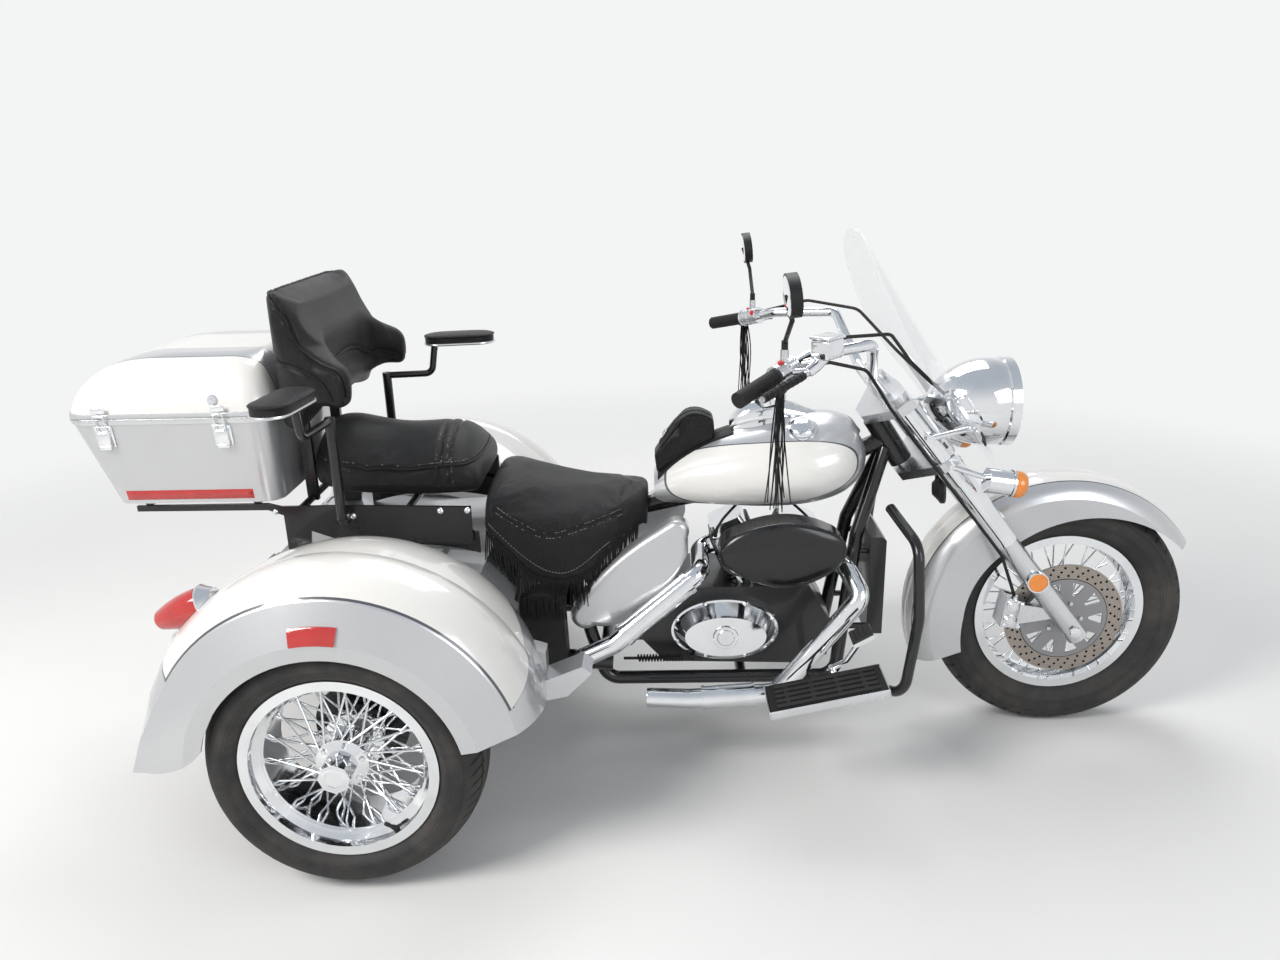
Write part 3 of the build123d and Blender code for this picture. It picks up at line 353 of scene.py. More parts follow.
matt = {"Roughness": 0.7, "Specular_IOR_Level": 0.3}
rubber = mottled("valve_rubber", 60.0, (0.02, 0.02, 0.021), (0.035, 0.034, 0.033), **matt)[0]
valve_at, valve_y, nut_at, hub_face = 0.186, rear_y + 0.066, 0.046, 0.6465
stem = mm((0, -4), (6.5, -3), (6, 6), (3.5, 20), (4.5, 22), (4.5, 34), (0, 35))
cap = mm((30, 700), (27, 701.5), (20, 701.5), (18, 699), (0, 699))
for side, name, turn in ((-1, "right", -58), (1, "left", 122)):
    a = radians(turn)
    foot = (rear_x + cos(a) * valve_at, side * valve_y, rear_z + sin(a) * valve_at)
    valve = lathe(stem, foot, (-cos(a), side * 0.55, -sin(a)), 16)
    build("valve_" + name, [valve], rubber, "rear_wheel_" + name)
    forms = [lathe([(r, side * y) for r, y in cap], (rear_x, 0, rear_z), (0, 1, 0), 8)]
    for c, s in circle(6, 0.3):
        nut = (rear_x + c * nut_at, side * hub_face, rear_z + s * nut_at)
        forms.append(hexagon(nut, (0, side, 0), 0.006, 0.006))
    build("hub_cap_" + name, forms, chrome, "rear_wheel_" + name)

# Brake disc and caliper
# A drilled steel disc browned by heat on a grey alloy carrier, held by a polished caliper.
disc_steel, spot = start("disc_steel", Metallic=0.9)
x, y, z = spot.split()
x, z = x - front_x, z - front_z
r = x.reach(z)
turn = z.math("ARCTAN2", x) / (2 * pi)
hole = r.line(0.1115, 0.0008)
holes = 30
for ring, shift in ((0.120, 0.0), (0.131, 0.33), (0.142, 0.66)):
    along = ((turn * holes + shift).math("FRACT") - 0.5) * (2 * pi * ring / holes)
    hole = hole | along.reach(r - ring).fall(0.0028, 0.0036)
scuff = spot.noise(30.0, 5.0, 0.7)
swept = (r * 900).math("SINE") * 0.5 + 0.5
browned = (scuff * 0.6 + swept * 0.3).mix((0.26, 0.22, 0.19), (0.46, 0.42, 0.38))
steel = r.rise(0.110, 0.113).mix((0.30, 0.30, 0.31), browned)
wear(
    disc_steel,
    # The holes are coloured near black: painted shade standing in for the dark seen through the disc.
    Base_Color=hole.mix(steel, (0.008, 0.008, 0.008)),
    Roughness=scuff * 0.25 + 0.26,
    Normal=(swept * 0.2 - hole).bump(0.001),
)
coat(disc_steel, "front_disc")
coat(alloy, "front_caliper", "front_axle")
across, outward = Vector((0, 1, 0)), Vector((0, -1, 0))
piston = mm((0, 6), (10, 6), (12, 4), (15, 4), (16, 0))
forms = [lathe(piston, (x, -0.112, z), outward, 24) for x, z in mm((880, 336), (886, 378))]
for x, z in mm((866, 323), (903, 318), (878, 394), (908, 382)):
    forms.append(hexagon((x, -0.112, z), outward, 0.006, 0.005))
forms.append(hexagon((0.892, -0.105, 0.3925), (0, 0, 1), 0.009, 0.009))
build("caliper_pistons", forms, chrome, "steering")
ring = [(front_x + c * 0.044, -0.075, front_z + s * 0.044) for c, s in circle(5)]
forms = [hexagon(p, outward, 0.006, 0.005) for p in ring]
build("disc_bolts", forms, alloy, "front_wheel")


# Chassis
# Welded steel tube, painted gloss black, with the same paint on the axle, guard, racks and arms.
# Chromed button-head screws hold the case rack and the seat rails.
def enamel(name, colour, roughness, dusty=0.4):
    made, spot = start(name, Coat_Roughness=0.12, Specular_IOR_Level=0.3)
    dust = spot.noise(7.0, 6.0, 0.7).rise(0.45, 0.85)
    chips = spot.noise(95.0, 2.0).rise(0.70, 0.74)
    pale = tuple(c * 0.6 + 0.035 for c in colour)
    return wear(
        made,
        Base_Color=(dust * dusty).mix(colour, pale),
        Roughness=dust * 0.3 + roughness,
        Coat_Weight=0.5 - dust * 0.4,
        Normal=(spot.noise(180.0) * 0.3 - chips).bump(0.0004, 0.4),
    )


black = enamel("chassis_black", (0.012, 0.012, 0.013), 0.22)
satin = {"Roughness": 0.5, "Specular_IOR_Level": 0.3}
dark, light = (0.007, 0.007, 0.0075), (0.016, 0.016, 0.016)
moulded, spot = mottled("moulded_black", 50.0, dark, light, **satin)
wear(moulded, Normal=spot.noise(900.0).bump(0.0004, 0.5))
coat(moulded, "side_boxes", "mirrors", "floorboards", "control_cables", "brake_hose")
coat(black, "frame", "rear_axle", "engine_guard", "seat_rails", "case_rack")
coat(black, "armrest_left", "armrest_right")


def through(points, pitch=0.012, per=None):
    """Points along a smooth line through points, a pitch apart or so many to each run."""
    points = [Vector(p) for p in points]
    line = [points[0]]
    for i, (a, b) in enumerate(zip(points, points[1:])):
        u = (b - points[max(i - 1, 0)]) / 2
        v = (points[min(i + 2, len(points) - 1)] - a) / 2
        count = per or max(1, round((b - a).length / pitch))
        for k in range(1, count + 1):
            t = k / count
            ends = a * (2 * t**3 - 3 * t**2 + 1) + u * (t**3 - 2 * t**2 + t)
            line.append(ends + b * (3 * t**2 - 2 * t**3) + v * (t**3 - t**2))
    return line


def strand(points, radius, steps=8, pitch=0.012, smooth=True):
    """A round form swept along a line, smooth through its points; radius may be (first, last)."""
    line = through(points, pitch) if smooth and len(points) > 2 else [Vector(p) for p in points]
    first, last = radius if isinstance(radius, tuple) else (radius, radius)
    side = (line[1] - line[0]).orthogonal().normalized()
    out = []
    for i, spot in enumerate(line):
        along = (line[min(i + 1, len(line) - 1)] - line[max(i - 1, 0)]).normalized()
        side = (side - along * side.dot(along)).normalized()
        other = along.cross(side)
        r = first + (last - first) * i / (len(line) - 1)
        out += [spot + (side * c + other * s) * r for c, s in circle(steps)]
    return out, tube(steps, len(line), True)


def block(place, size, round_by=0.002):
    """A box with rounded edges; place is its matrix or centre, size its full sides."""
    if not isinstance(place, Matrix):
        place = Matrix.Translation(place)
    form = bmesh.new()
    bmesh.ops.create_cube(form, size=1, matrix=place @ Matrix.Diagonal((*size, 1)))
    bmesh.ops.bevel(form, geom=form.edges[:], offset=round_by, segments=3, profile=0.5, affect="EDGES")
    form.verts.index_update()
    made = [v.co.copy() for v in form.verts], [tuple(v.index for v in f.verts) for f in form.faces]
    form.free()
    return made


rack_screws = mm((-524, 213, 695), (-460, 213, 695), (-734, 213, 686), (-686, 198, 640), (-476, 198, 612))
forms = []
for side in (-1, 1):
    forms += [dome((x, side * y, z), (0, side, 0), 0.0085, 0.006) for x, y, z in rack_screws]
    forms.append(dome((-0.918, side * 0.213, 0.700), (0, side, 0), 0.007, 0.005))
build("rack_bolts", forms, chrome, "root")


# Trike body
# Moulded body with an arched fender over each rear wheel, lacquered silver with a pearl white
# panel on each crown. A dark pinstripe runs round every white panel.
def two_tone(name, masks):
    """Silver lacquer with a white panel and pinstripe, from masks of x, y and z in metres."""
    made, spot = start(name, Coat_Weight=1.0, Coat_Roughness=0.035)
    white, stripe = masks(*spot.split())
    flake = spot.noise(900.0, 1.0)
    cloud = spot.noise(5.0, 4.0, 0.6)
    silver = (flake * 0.5 + cloud * 0.2).mix((0.47, 0.478, 0.490), (0.70, 0.705, 0.715))
    pearl = (cloud * 0.6).mix((0.83, 0.82, 0.785), (0.76, 0.755, 0.73))
    grime = spot.noise(16.0, 6.0, 0.7).rise(0.56, 0.85) * 0.35
    paint = grime.mix(white.mix(silver, pearl), (0.50, 0.47, 0.42))
    return wear(
        made,
        Base_Color=stripe.mix(paint, (0.06, 0.065, 0.075)),
        Metallic=0.62 * (1 - white) * (1 - stripe),
        Roughness=grime * 0.4 + flake * 0.08 + 0.26,
        Normal=(spot.noise(2.2, 2.0) * 4 + white * 0.12 + flake * 0.02).bump(0.0010, 0.25),
    )


def fender_masks(x, y, z):
    """The white crown tapers inward towards the front, between two turns about the axle."""
    out, skirt, crown, from_turn, to_turn = abs(y), 0.6645, 0.3805, 20.5, 147.0
    x, z = x - rear_x, z - rear_z
    r, turn = x.reach(z), z.math("ARCTAN2", x) * (180 / pi)
    inner = out - (0.655 - (turn - from_turn).rise(0.0, 34.0) ** 0.5 * 0.420)
    high = r.rise(crown, crown + 0.001) | out.fall(0.45, 0.4501)
    ends = turn.rise(from_turn - 0.1, from_turn + 0.1) & turn.fall(to_turn, to_turn + 0.3)
    low = out.fall(skirt - 0.001, skirt)
    white = low & high & inner.rise(-0.0005, 0.0005) & ends
    edge = out.rise(skirt - 0.004, skirt - 0.003) & out.fall(skirt, skirt + 0.001)
    rim = (edge | inner.line(0.0015, 0.0015) | turn.line(to_turn, 0.35) & low) & high
    rim = rim & turn.rise(from_turn - 0.5, from_turn - 0.3) & turn.fall(to_turn + 0.5, to_turn + 0.6)
    return white, rim & inner.rise(-0.001, 0.0)


def faceted(name, scale, low, high, cells, joint, deep, strength, **constants):
    """A lens with a grid of prisms moulded in its face."""
    made, spot = mottled(name, scale, low, high, Coat_Weight=1.0, **constants)
    sockets = {"Vector": spot, "Scale": cells, "Mortar Size": joint}
    prisms = spot.node("TexBrick", sockets, "Fac", offset=0.0)
    return wear(made, Normal=prisms.bump(deep, strength))


coat(two_tone("fender_lacquer", fender_masks), "rear_fenders")
silver = two_tone("silver_lacquer", lambda x, y, z: (x * 0, x * 0))
coat(silver, "trike_body", "trunk_door", "side_covers")
clear = {"Roughness": 0.12, "Coat_Roughness": 0.03, "Transmission_Weight": 0.2}
dark, light = (0.50, 0.012, 0.012), (0.72, 0.03, 0.02)
lens_red = faceted("red_lens", 30.0, dark, light, 60.0, 0.04, 0.0015, 0.6, **clear)
flare, inner_r, skirt_y, steps = 36 / 77, 0.305, 0.704, 12
section = mm((306, 0), (306, 4), (309, 5.5), (336, 5.5), (339, 4), (339, 0))
for side, name in ((-1, "right"), (1, "left")):
    points = []
    for k in range(steps + 1):
        a = radians(82.5 + 16.5 * k / steps)
        for r, lift in section:
            y = skirt_y - (r - inner_r) * flare + lift
            points.append((rear_x + cos(a) * r, side * y, rear_z + sin(a) * r))
    form = points, tube(len(section), steps + 1, True)
    build("fender_reflector_" + name, [form], lens_red, "root")

# Tail lamps
# A ribbed red lens on a chrome barrel, with a foot that is bolted to the fender's crown.
coat(lens_red, "tail_lamps")
coat(chrome, "lamp_bases")
ring = mm((36.5, -1), (39.5, 0), (39.5, 4), (36.5, 5))
forms = [lathe(ring, (-0.944, side * 0.550, 0.626), (-0.131, 0, -0.051), 48) for side in (-1, 1)]
build("lamp_rings", forms, chrome, "root")

# Engine
# Black V-twin with polished fin edges, chromed rocker boxes and chromed oval case covers, and
# an oval air cleaner on its right. Chromed screws hold the covers.
finned_black, spot = start("finned_black")
side = abs(spot.split()[1])
facing = abs(spot.node("NewGeometry", out="Normal").split()[1])
polished = facing.rise(0.55, 0.75) & side.rise(0.050, 0.056)
scuff = spot.noise(40.0, 4.0, 0.6)
cast = (scuff * 0.5).mix((0.014, 0.014, 0.015), (0.045, 0.043, 0.040))
wear(
    finned_black,
    Base_Color=polished.mix(cast, (0.62, 0.63, 0.64)),
    Metallic=polished,
    Roughness=0.48 - polished * 0.28 + scuff * 0.1,
    Normal=scuff.bump(0.0006, 0.4),
)
coat(finned_black, "cylinders")
case_black = enamel("crankcase_black", (0.020, 0.020, 0.021), 0.42, 0.6)
coat(case_black, "engine_block", "radiator")
coat(chrome, "rocker_covers", "engine_covers", "exhaust_pipes", "tank_console")
air_black = enamel("air_box_black", (0.006, 0.006, 0.007), 0.26, 0.3)
coat(air_black, "air_cleaner")
rim = mm(
    (400, 0, 630), (436, 0, 588), (406, 0, 530), (300, 0, 489),
    (190, 0, 520), (135, 0, 572), (180, 0, 628), (290, 0, 656),
)
per = 9
around = per * len(rim)
rim = through([*rim[-1:], *rim, *rim[:2]], per=per)[per:-per][:around]
middle = Vector((0.288, 0, 0.573))
shell = (
    (1.006, 0.2240), (1.006, 0.2285), (0.985, 0.2335), (0.93, 0.2375),
    (0.82, 0.2415), (0.62, 0.2450), (0.35, 0.2468), (0.02, 0.2472),
)
points = [middle + (p - middle) * share - Vector((0, y, 0)) for share, y in shell for p in rim]
faces = tube(around, len(shell)) + [tuple(range(len(points) - around, len(points)))]
build("air_cleaner_shell", [(points, faces)], air_black, "root")
forms, cover_z = [], 0.331
for c, s in circle(8, pi / 8):
    z = cover_z + s * 0.079
    forms.append(dome((0.155 + c * 0.131, -0.1335, z), outward, 0.006, 0.005))
    forms.append(dome((0.200 + c * 0.105, 0.128, z), across, 0.006, 0.005))
plug = mm((0, 5), (20, 5), (22, 3), (30, 3), (32, 0), (32, -4))
forms.append(lathe(plug, (0.155, -0.1755, cover_z), outward, 48))
vee_x = 0.260
for lean in (-1, 1):
    for shift in (0.030, 0.062):
        foot = (vee_x + lean * shift, -0.086, 0.441)
        knee = (vee_x + lean * (shift + 0.040), -0.086, 0.530)
        forms.append(strand([foot, knee, (knee[0] + lean * 0.008, -0.069, 0.556)], 0.0075, 12))
build("engine_bolts", forms, chrome, "root")
forms = []
for lean in (-1, 1):
    x = vee_x + lean * 0.128
    plug = (x, -0.066, 0.570)
    lead = [plug, (x, -0.086, 0.574), (x - lean * 0.02, -0.078, 0.610)]
    forms.append(strand([*lead, (vee_x + lean * 0.06, -0.040, 0.648)], 0.0035))
    forms.append(strand([plug, (x, -0.090, 0.574)], 0.007, 12))
turns, per, coil_r, coil_long = 15, 10, 0.0085, 0.115
ring = [(-0.150 + coil_r * c, 0.262 + coil_r * s) for c, s in circle(per)]
coil = [(-0.068 + coil_long * k / (turns * per), *ring[k % per]) for k in range(turns * per + 1)]
forms.append(strand(coil, 0.0019, 6, smooth=False))
forms.append(strand(mm((-104, -150, 262), (76, -150, 262)), 0.004, 10))
forms.append(block((0.070, -0.133, 0.262), (0.016, 0.044, 0.016), 0.003))
build("leads_and_spring", forms, moulded, "root")

# Exhaust
# Chromed pipes with bolted heat shields, joined by clamp rings, and a near-black disc in each mouth:
# soot, with painted shade for the depth of the pipe.
forms = []
bands = ((0.0, 1.0, 0.0282), (0.0, 0.06, 0.0300), (0.94, 1.0, 0.0300), (0.46, 0.50, 0.0292))
for first, last in (
    ((0.222, -0.246, 0.2105), (0.092, -0.246, 0.2020)),
    ((0.066, -0.185, 0.4900), (-0.098, -0.2300, 0.3680)),
):
    first, last = Vector(first), Vector(last)
    for low, high, r in bands:
        forms.append(strand([first.lerp(last, low), first.lerp(last, high)], r, 32))
lip = mm((19.5, 0.4), (20.5, 2.5), (23.8, 2.5), (24.7, 0), (24.7, -12), (23.9, -13))
mouths = []
for end, along in (((-0.043, -0.246, 0.205), (-104, 0, 5)), ((-0.206, -0.246, 0.314), (-83, -8, -35))):
    forms.append(lathe(lip, end, along, 32))
    mouths.append(lathe([(0, 0.0003), (0.0196, 0.0003)], end, along, 32))
build("heat_shields", forms, chrome, "root")
# Each mouth is closed by a near-black disc: soot, and painted shade where the inside of the pipe would
# fall dark.
soot_and_shade = mottled("soot_and_shade", 70.0, (0.006, 0.006, 0.006), (0.020, 0.018, 0.016), Roughness=0.95)[0]
build("pipe_mouths", mouths, soot_and_shade, "root")


# Fuel tank
# Pressed steel teardrop, silver, with a white panel inset on each flank, two chromed caps and
# a dial in a chromed bezel on its console.
def tank_masks(x, y, z):
    along = x - 0.245
    tall = (z - 0.737 - along * 0.10) / 0.076
    oval = (abs(along / 0.235) ** 2.6 + abs(tall) ** 2.4) ** 0.4
    flank = abs(y).rise(0.04, 0.045)
    return oval.fall(0.985, 0.99) & flank, oval.line(1.0, 0.012) & flank


coat(two_tone("tank_lacquer", tank_masks), "fuel_tank")


def skin(piece):
    """A piece's surface, to find points on it."""
    mesh = piece.data
    return BVHTree.FromPolygons([v.co for v in mesh.vertices], [p.vertices[:] for p in mesh.polygons])


def under(on, x, y):
    """Where a point above the vehicle drops on a skin, and the normal there."""
    return on.ray_cast(Vector((x, y, 1.2)), Vector((0, 0, -1)))[:2]


tank_skin = skin(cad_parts["fuel_tank"])
cap = mm((0, 17), (12, 16.5), (26, 13), (31, 8), (33, 3), (37, 2), (37, -6))
forms = [lathe(cap, *under(tank_skin, 0.345, side * 0.076), 48) for side in (-1, 1)]
spot, normal = under(skin(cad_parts["tank_console"]), 0.272, 0)
facing = (normal + Vector((-0.35, 0, 0))).normalized()
bezel = mm((36, 6), (38, 11), (41, 11), (43, 6), (43, -12))
forms.append(lathe(bezel, spot, facing, 64))
build("tank_caps", forms, chrome, "root")
dial, place = start("dial_face", Roughness=0.3, Coat_Weight=1.0)
rest = place.node("VectorMath", {0: place, 1: tuple(spot + facing * 0.007)}, operation="SUBTRACT")
u, v = (
    rest.node("VectorMath", {0: rest, 1: tuple(way)}, "Value", operation="DOT_PRODUCT")
    for way in (facing.cross(across), across)
)
r = u.reach(v)
tick = (v.math("ARCTAN2", u) * (24 / (2 * pi)) + 10).math("FRACT")
ticks = (0.07 - abs(tick - 0.5)).rise(0.0, 0.02) & r.rise(0.026, 0.0265) & r.fall(0.032, 0.0325)
face = place.noise(40.0).mix((0.01, 0.01, 0.011), (0.02, 0.02, 0.02))
wear(dial, Base_Color=(ticks | r.line(0.034, 0.0005)).mix(face, (0.8, 0.8, 0.78)))
build("dial", [lathe([(0, 0.008), (0.0365, 0.008)], spot, facing, 48)], dial, "root")

# Front end
# Polished lower legs in chromed covers, a bullet lamp and signals, a clear screen on brackets.
coat(alloy, "fork_legs", "triple_clamps", "hand_controls")
coat(chrome, "fork_covers", "headlight", "front_signals")
coat(chrome, "windshield_brackets", "handlebar", "foot_controls")


def front_fender_masks(x, y, z):
    side = abs(y)
    return side.fall(0.0505, 0.0512), side.line(0.0525, 0.0012)


coat(two_tone("front_fender_lacquer", front_fender_masks), "front_fender")
screen, spot = start("clear_screen", Base_Color=(0.93, 0.95, 0.96, 1), Roughness=0.03, IOR=1.46)
wear(screen, Alpha=spot.noise(12.0, 5.0, 0.7).rise(0.5, 0.9) * 0.10 + 0.16)
coat(screen, "windshield")
dark, light = (0.80, 0.20, 0.010), (0.95, 0.32, 0.02)
amber = faceted("amber_lens", 40.0, dark, light, 90.0, 0.03, 0.001, 0.5, Roughness=0.15)
coat(amber, "fork_reflectors")
glass, spot = start("lamp_glass", Metallic=0.55, Coat_Weight=1.0, Coat_Roughness=0.02)
# The lens goes light and dark across its flutes: painted glints along the flutes of the glass.
flute = (spot.split()[1] * 520).math("SINE") * 0.5 + 0.5
painted_flute_glints = flute.mix((0.50, 0.54, 0.60), (0.85, 0.88, 0.92))
wear(glass, Base_Color=painted_flute_glints, Roughness=flute * 0.1 + 0.05, Normal=flute.bump(0.0015))
lens = mm((98.5, 28.8), (75, 33.3), (52, 37), (25, 38.9), (0, 39.6))
lens = lathe(lens, (0.835, 0, 0.883), (1, 0, 0), 64)
build("headlight_lens", [lens], glass, "steering")
cap = mm((30.6, -20), (31.8, -18), (31.8, -3), (28, 6), (17, 11), (0, 12.5))
collar = mm((30.6, -27), (32.6, -26), (32.6, -21), (30.6, -20))
edge = mm((23.6, 1.2), (26.8, 1.6), (26.8, -8), (24.3, -8.4))
lenses, rings = [], []
for side in (-1, 1):
    signal = (0.838, side * 0.205, 0.733), (81, 0, -13)
    lenses.append(lathe(cap, *signal, 40))
    rings.append(lathe(collar, *signal, 40))
    rings.append(lathe(edge, (0.9256, side * 0.154, 0.4582), (0, side, 0), 40))
    rings.append(hexagon((front_x, side * 0.150, front_z), (0, side, 0), 0.0145, 0.008))
build("signal_lenses", lenses, amber, "steering", 60)
build("lamp_trim", rings, chrome, "steering")
bend, lean = 0.605, 12


def on_screen(turn, rise, proud):
    """A point on the screen's outer face, turned to one side, at a rise above its middle."""
    up, out = Vector((-0.5465, 0, 0.8375)), Vector((0.8375, 0, 0.5465))
    ray = out * cos(radians(turn)) + Vector((0, sin(radians(turn)), 0))
    return Vector((0.645, 0, 1.0425)) + up * rise - out * bend + ray * (bend + proud)


def sheet(wide, tall, sides=2):
    """Faces of a grid of points, or of a lower and an upper grid and the rim between them."""
    size = wide * tall
    rows = [g + b for g in range(0, size * sides, size) for b in range(0, size - wide, wide)]
    corners = [row + a for row in rows for a in range(wide - 1)]
    faces = [(i, i + 1, i + wide + 1, i + wide) for i in corners]
    if sides == 1:
        return faces
    rim = [*range(wide), *range(2 * wide - 1, size, wide)]
    rim += [*range(size - 2, size - wide - 1, -1), *range(size - 2 * wide, 0, -wide)]
    return faces + [(i, j, j + size, i + size) for i, j in zip(rim, rim[1:] + rim[:1])]


plates, bolts, strips = [], [], []
grid = [(a / 6, b / 8) for b in range(9) for a in range(7)]
for side in (-1, 1):
    for low, high, first, last, thick, forms in (
        (-0.222, -0.075, 17.6, 21.2, 0.003, plates),
        (-0.243, -0.226, 13.5, 18.2, 0.004, strips),
    ):
        points = []
        for lift in (0.0004, thick):
            for a, b in grid:
                turn = first + (last - first) * a + (high - low) * (b - 0.5) * lean
                points.append(on_screen(side * turn, low + (high - low) * b, lift))
        forms.append((points, sheet(7, 9)))
    for rise in (-0.195, -0.105):
        turn = side * (19.4 + (rise + 0.1485) * lean)
        spot = on_screen(turn, rise, 0.003)
        bolts.append(dome(spot, on_screen(turn, rise, 1.0) - spot, 0.009, 0.006))
build("screen_plates", plates, alloy, "steering")
build("screen_bolts", bolts, chrome, "steering")
build("screen_rubber", strips, rubber, "steering")
horn = mm((0, 4), (12, 5), (14, 1), (30, 3), (34, 6), (38, 4), (38, -6), (26, -16), (16, -26), (0, -27))
horn = lathe(horn, (0.706, -0.046, 0.672), (1, -0.35, 0.1), 48)
bracket = strand(mm((690, -46, 678), (688, -46, 720), (686, -46, 752)), 0.005)
build("horn", [horn, bracket], moulded, "steering")

# Handlebar controls
# Ribbed rubber grips, levers sleeved in laced leather with tassels, oval mirrors on stalks.
grip_from, grip_run = (0.239, 0.390, 1.041), (-0.669, 0.7096, -0.220)
grip, spot = start("grip_rubber", Roughness=0.65, Specular_IOR_Level=0.3)
x, y, z = spot.split()
along = sum((part - at) * run for part, at, run in zip((x, abs(y), z), grip_from, grip_run))
rib = (along * 900).math("SINE").rise(-0.4, 0.4)
# The grooves between the ribs are darker than the ribs: painted shade in the grooves.
grip_with_shaded_grooves = rib.mix((0.006, 0.006, 0.006), (0.020, 0.020, 0.021))
wear(grip, Base_Color=grip_with_shaded_grooves, Normal=rib.bump(0.0016))
coat(grip, "grips")
mirror_glass = bright("mirror_glass", (0.86, 0.88, 0.90), 0.015, 0.02)
dark, light = (0.55, 0.010, 0.010), (0.68, 0.02, 0.015)
red_plastic = mottled("red_plastic", 80.0, dark, light, Roughness=0.3)[0]


def on_grip(d, side, lift=0.0, forward=0.0):
    """A point along a grip from its inner end, in metres."""
    x, y, z = (at + run * d for at, run in zip(grip_from, grip_run))
    return Vector((x + forward, side * y, z + lift))


rear = Vector((-1, 0, -0.1)).normalized()
oval = mm((59.5, 37.5, 0.3), (58, 36, 1.2), (30, 20, 1.4), (0.5, 0.5, 1.4))
red = mm((0, 4), (5.5, 4), (7, 2), (7, -4))
glasses, buttons, fittings = [], [], []
for side in (-1, 1):
    middle = Vector((0.246, side * 0.508, 1.223))
    points = [
        middle + across * c * wide + rear.cross(across) * s * tall + rear * lift
        for wide, tall, lift in oval
        for c, s in circle(48)
    ]
    glasses.append((points, tube(48, len(oval))))
    back = Vector((-0.7096, -0.669 * side, 0))
    button = on_grip(-0.050, side, 0.010) + back * 0.0195
    buttons.append(lathe(red, button, back + Vector((0, 0, 0.5)), 20))
    buttons.append(block(on_grip(-0.020, side, 0.0235), (0.012, 0.014, 0.005), 0.0015))
    for d in (-0.0595, -0.031, -0.003):
        fittings.append(strand([on_grip(d - 0.0025, side), on_grip(d + 0.0025, side)], 0.0232, 28))
    fittings.append(dome(on_grip(-0.026, side, 0.009, 0.058), (0, 0, 1), 0.008, 0.004))
build("mirror_glass", glasses, mirror_glass, "steering")
build("switches", buttons, red_plastic, "steering")
tank_yaw = Matrix.Rotation(atan2(-0.7096, -0.669), 4, "Z")
for z, size, round_by in (
    (1.094, (0.062, 0.044, 0.042), 0.006),
    (1.118, (0.066, 0.048, 0.007), 0.003),
):
    fittings.append(block(Matrix.Translation((0.350, -0.364, z)) @ tank_yaw, size, round_by))
for r, steps, neck in (
    (0.012, 20, mm((312, -372, 1047), (330, -368, 1060), (346, -365, 1078))),
    (0.009, 16, mm((284, -343, 1056), (322, -356, 1066), (346, -364, 1078))),
):
    fittings.append(strand(neck, r, steps))
build("reservoir", fittings, chrome, "steering")
sight = mm((0, 3), (9, 3), (11, 1), (11, -2))
sight = lathe(sight, (0.334, -0.349, 1.094), (-0.7096, 0.669, 0), 24)
build("sight_glass", [sight], moulded, "steering")

# Top case
# Hollow moulded case, silver below and pearl white above, with aluminium edge strips, two
# chromed draw latches and a lock on its right, and a red strip low on each side.
coat(silver, "top_case")


def lid_masks(x, y, z):
    side = abs(y)
    white = 1 - (side.rise(0.10, 0.104) & side.fall(0.175, 0.179))
    return white, side.line(0.10, 0.0015) | side.line(0.177, 0.0015)


coat(two_tone("lid_lacquer", lid_masks), "case_lid")


def belt(on, low, high, proud):
    """A strip round the front, right and rear of the case, fitted to its skin."""
    section = ((0, -0.0005), (0, proud * 0.8), (1, proud), (2, proud * 0.8), (2, -0.0005))
    steps, hinge_y, points = 140, 0.248, []
    heights = (low, (low + high) / 2, high)
    for k in range(steps + 1):
        a = radians(-250 + 320 * k / steps)
        ray = Vector((cos(a), sin(a), 0))
        hits = [on.ray_cast(Vector((-1.11, 0, z)) + ray * 0.7, -ray) for z in heights]
        if max(hit[0].y for hit in hits) < hinge_y:
            for index, lift in section:
                normal = hits[index][1]
                points.append(hits[index][0] + Vector((normal.x, normal.y, 0)).normalized() * lift)
    return points, tube(len(section), len(points) // len(section), True)


case_skin, lid_skin = skin(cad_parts["top_case"]), skin(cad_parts["case_lid"])
build("case_edge", [belt(case_skin, 0.9335, 0.9445, 0.003)], alloy, "root")
build("lid_edge", [belt(lid_skin, 0.9490, 0.9590, 0.003)], alloy, "case_lid")


def from_right(on, x, z):
    """A place on a skin seen from the right: its Z stands off the skin and its X runs ahead."""
    hit, normal = on.ray_cast(Vector((x, -0.5, z)), across)[:2]
    if normal.dot(across) > 0:
        normal = -normal
    run = (Vector((1, 0, 0)) - normal * normal.x).normalized()
    return Matrix((run, normal.cross(run), normal)).transposed().to_4x4(), hit


latches, lids = [], []
for x in (-1.262, -0.990):
    turn, hit = from_right(case_skin, x, 0.905)
    at = Matrix.Translation(hit) @ turn
    up = 1 if (turn @ across).z > 0 else -1
    for rise, lift, size, round_by in (
        (0, 0.0016, (0.042, 0.050, 0.003), 0.001),
        (-0.004, 0.007, (0.030, 0.036, 0.008), 0.003),
        (-0.024, 0.010, (0.028, 0.010, 0.005), 0.002),
    ):
        latches.append(block(at @ Matrix.Translation((0, rise * up, lift)), size, round_by))
    for from_x, to_x, rise, r in mm((-11, -11, 5, 1.7), (11, 11, 5, 1.7), (-12, 12, 52, 1.9)):
        wire = [at @ Vector((from_x, rise * up, 0.0085)), at @ Vector((to_x, 0.052 * up, 0.0085))]
        latches.append(strand(wire, r))
    for shift in (-0.016, 0.016):
        rivet = at @ Vector((shift, 0.019 * up, 0.003))
        latches.append(dome(rivet, turn @ Vector((0, 0, 1)), 0.003, 0.0015))
    keeper = Matrix.Translation(at @ Vector((0, 0.064 * up, 0.0018))) @ turn
    lids.append(block(keeper, (0.030, 0.014, 0.004), 0.0015))
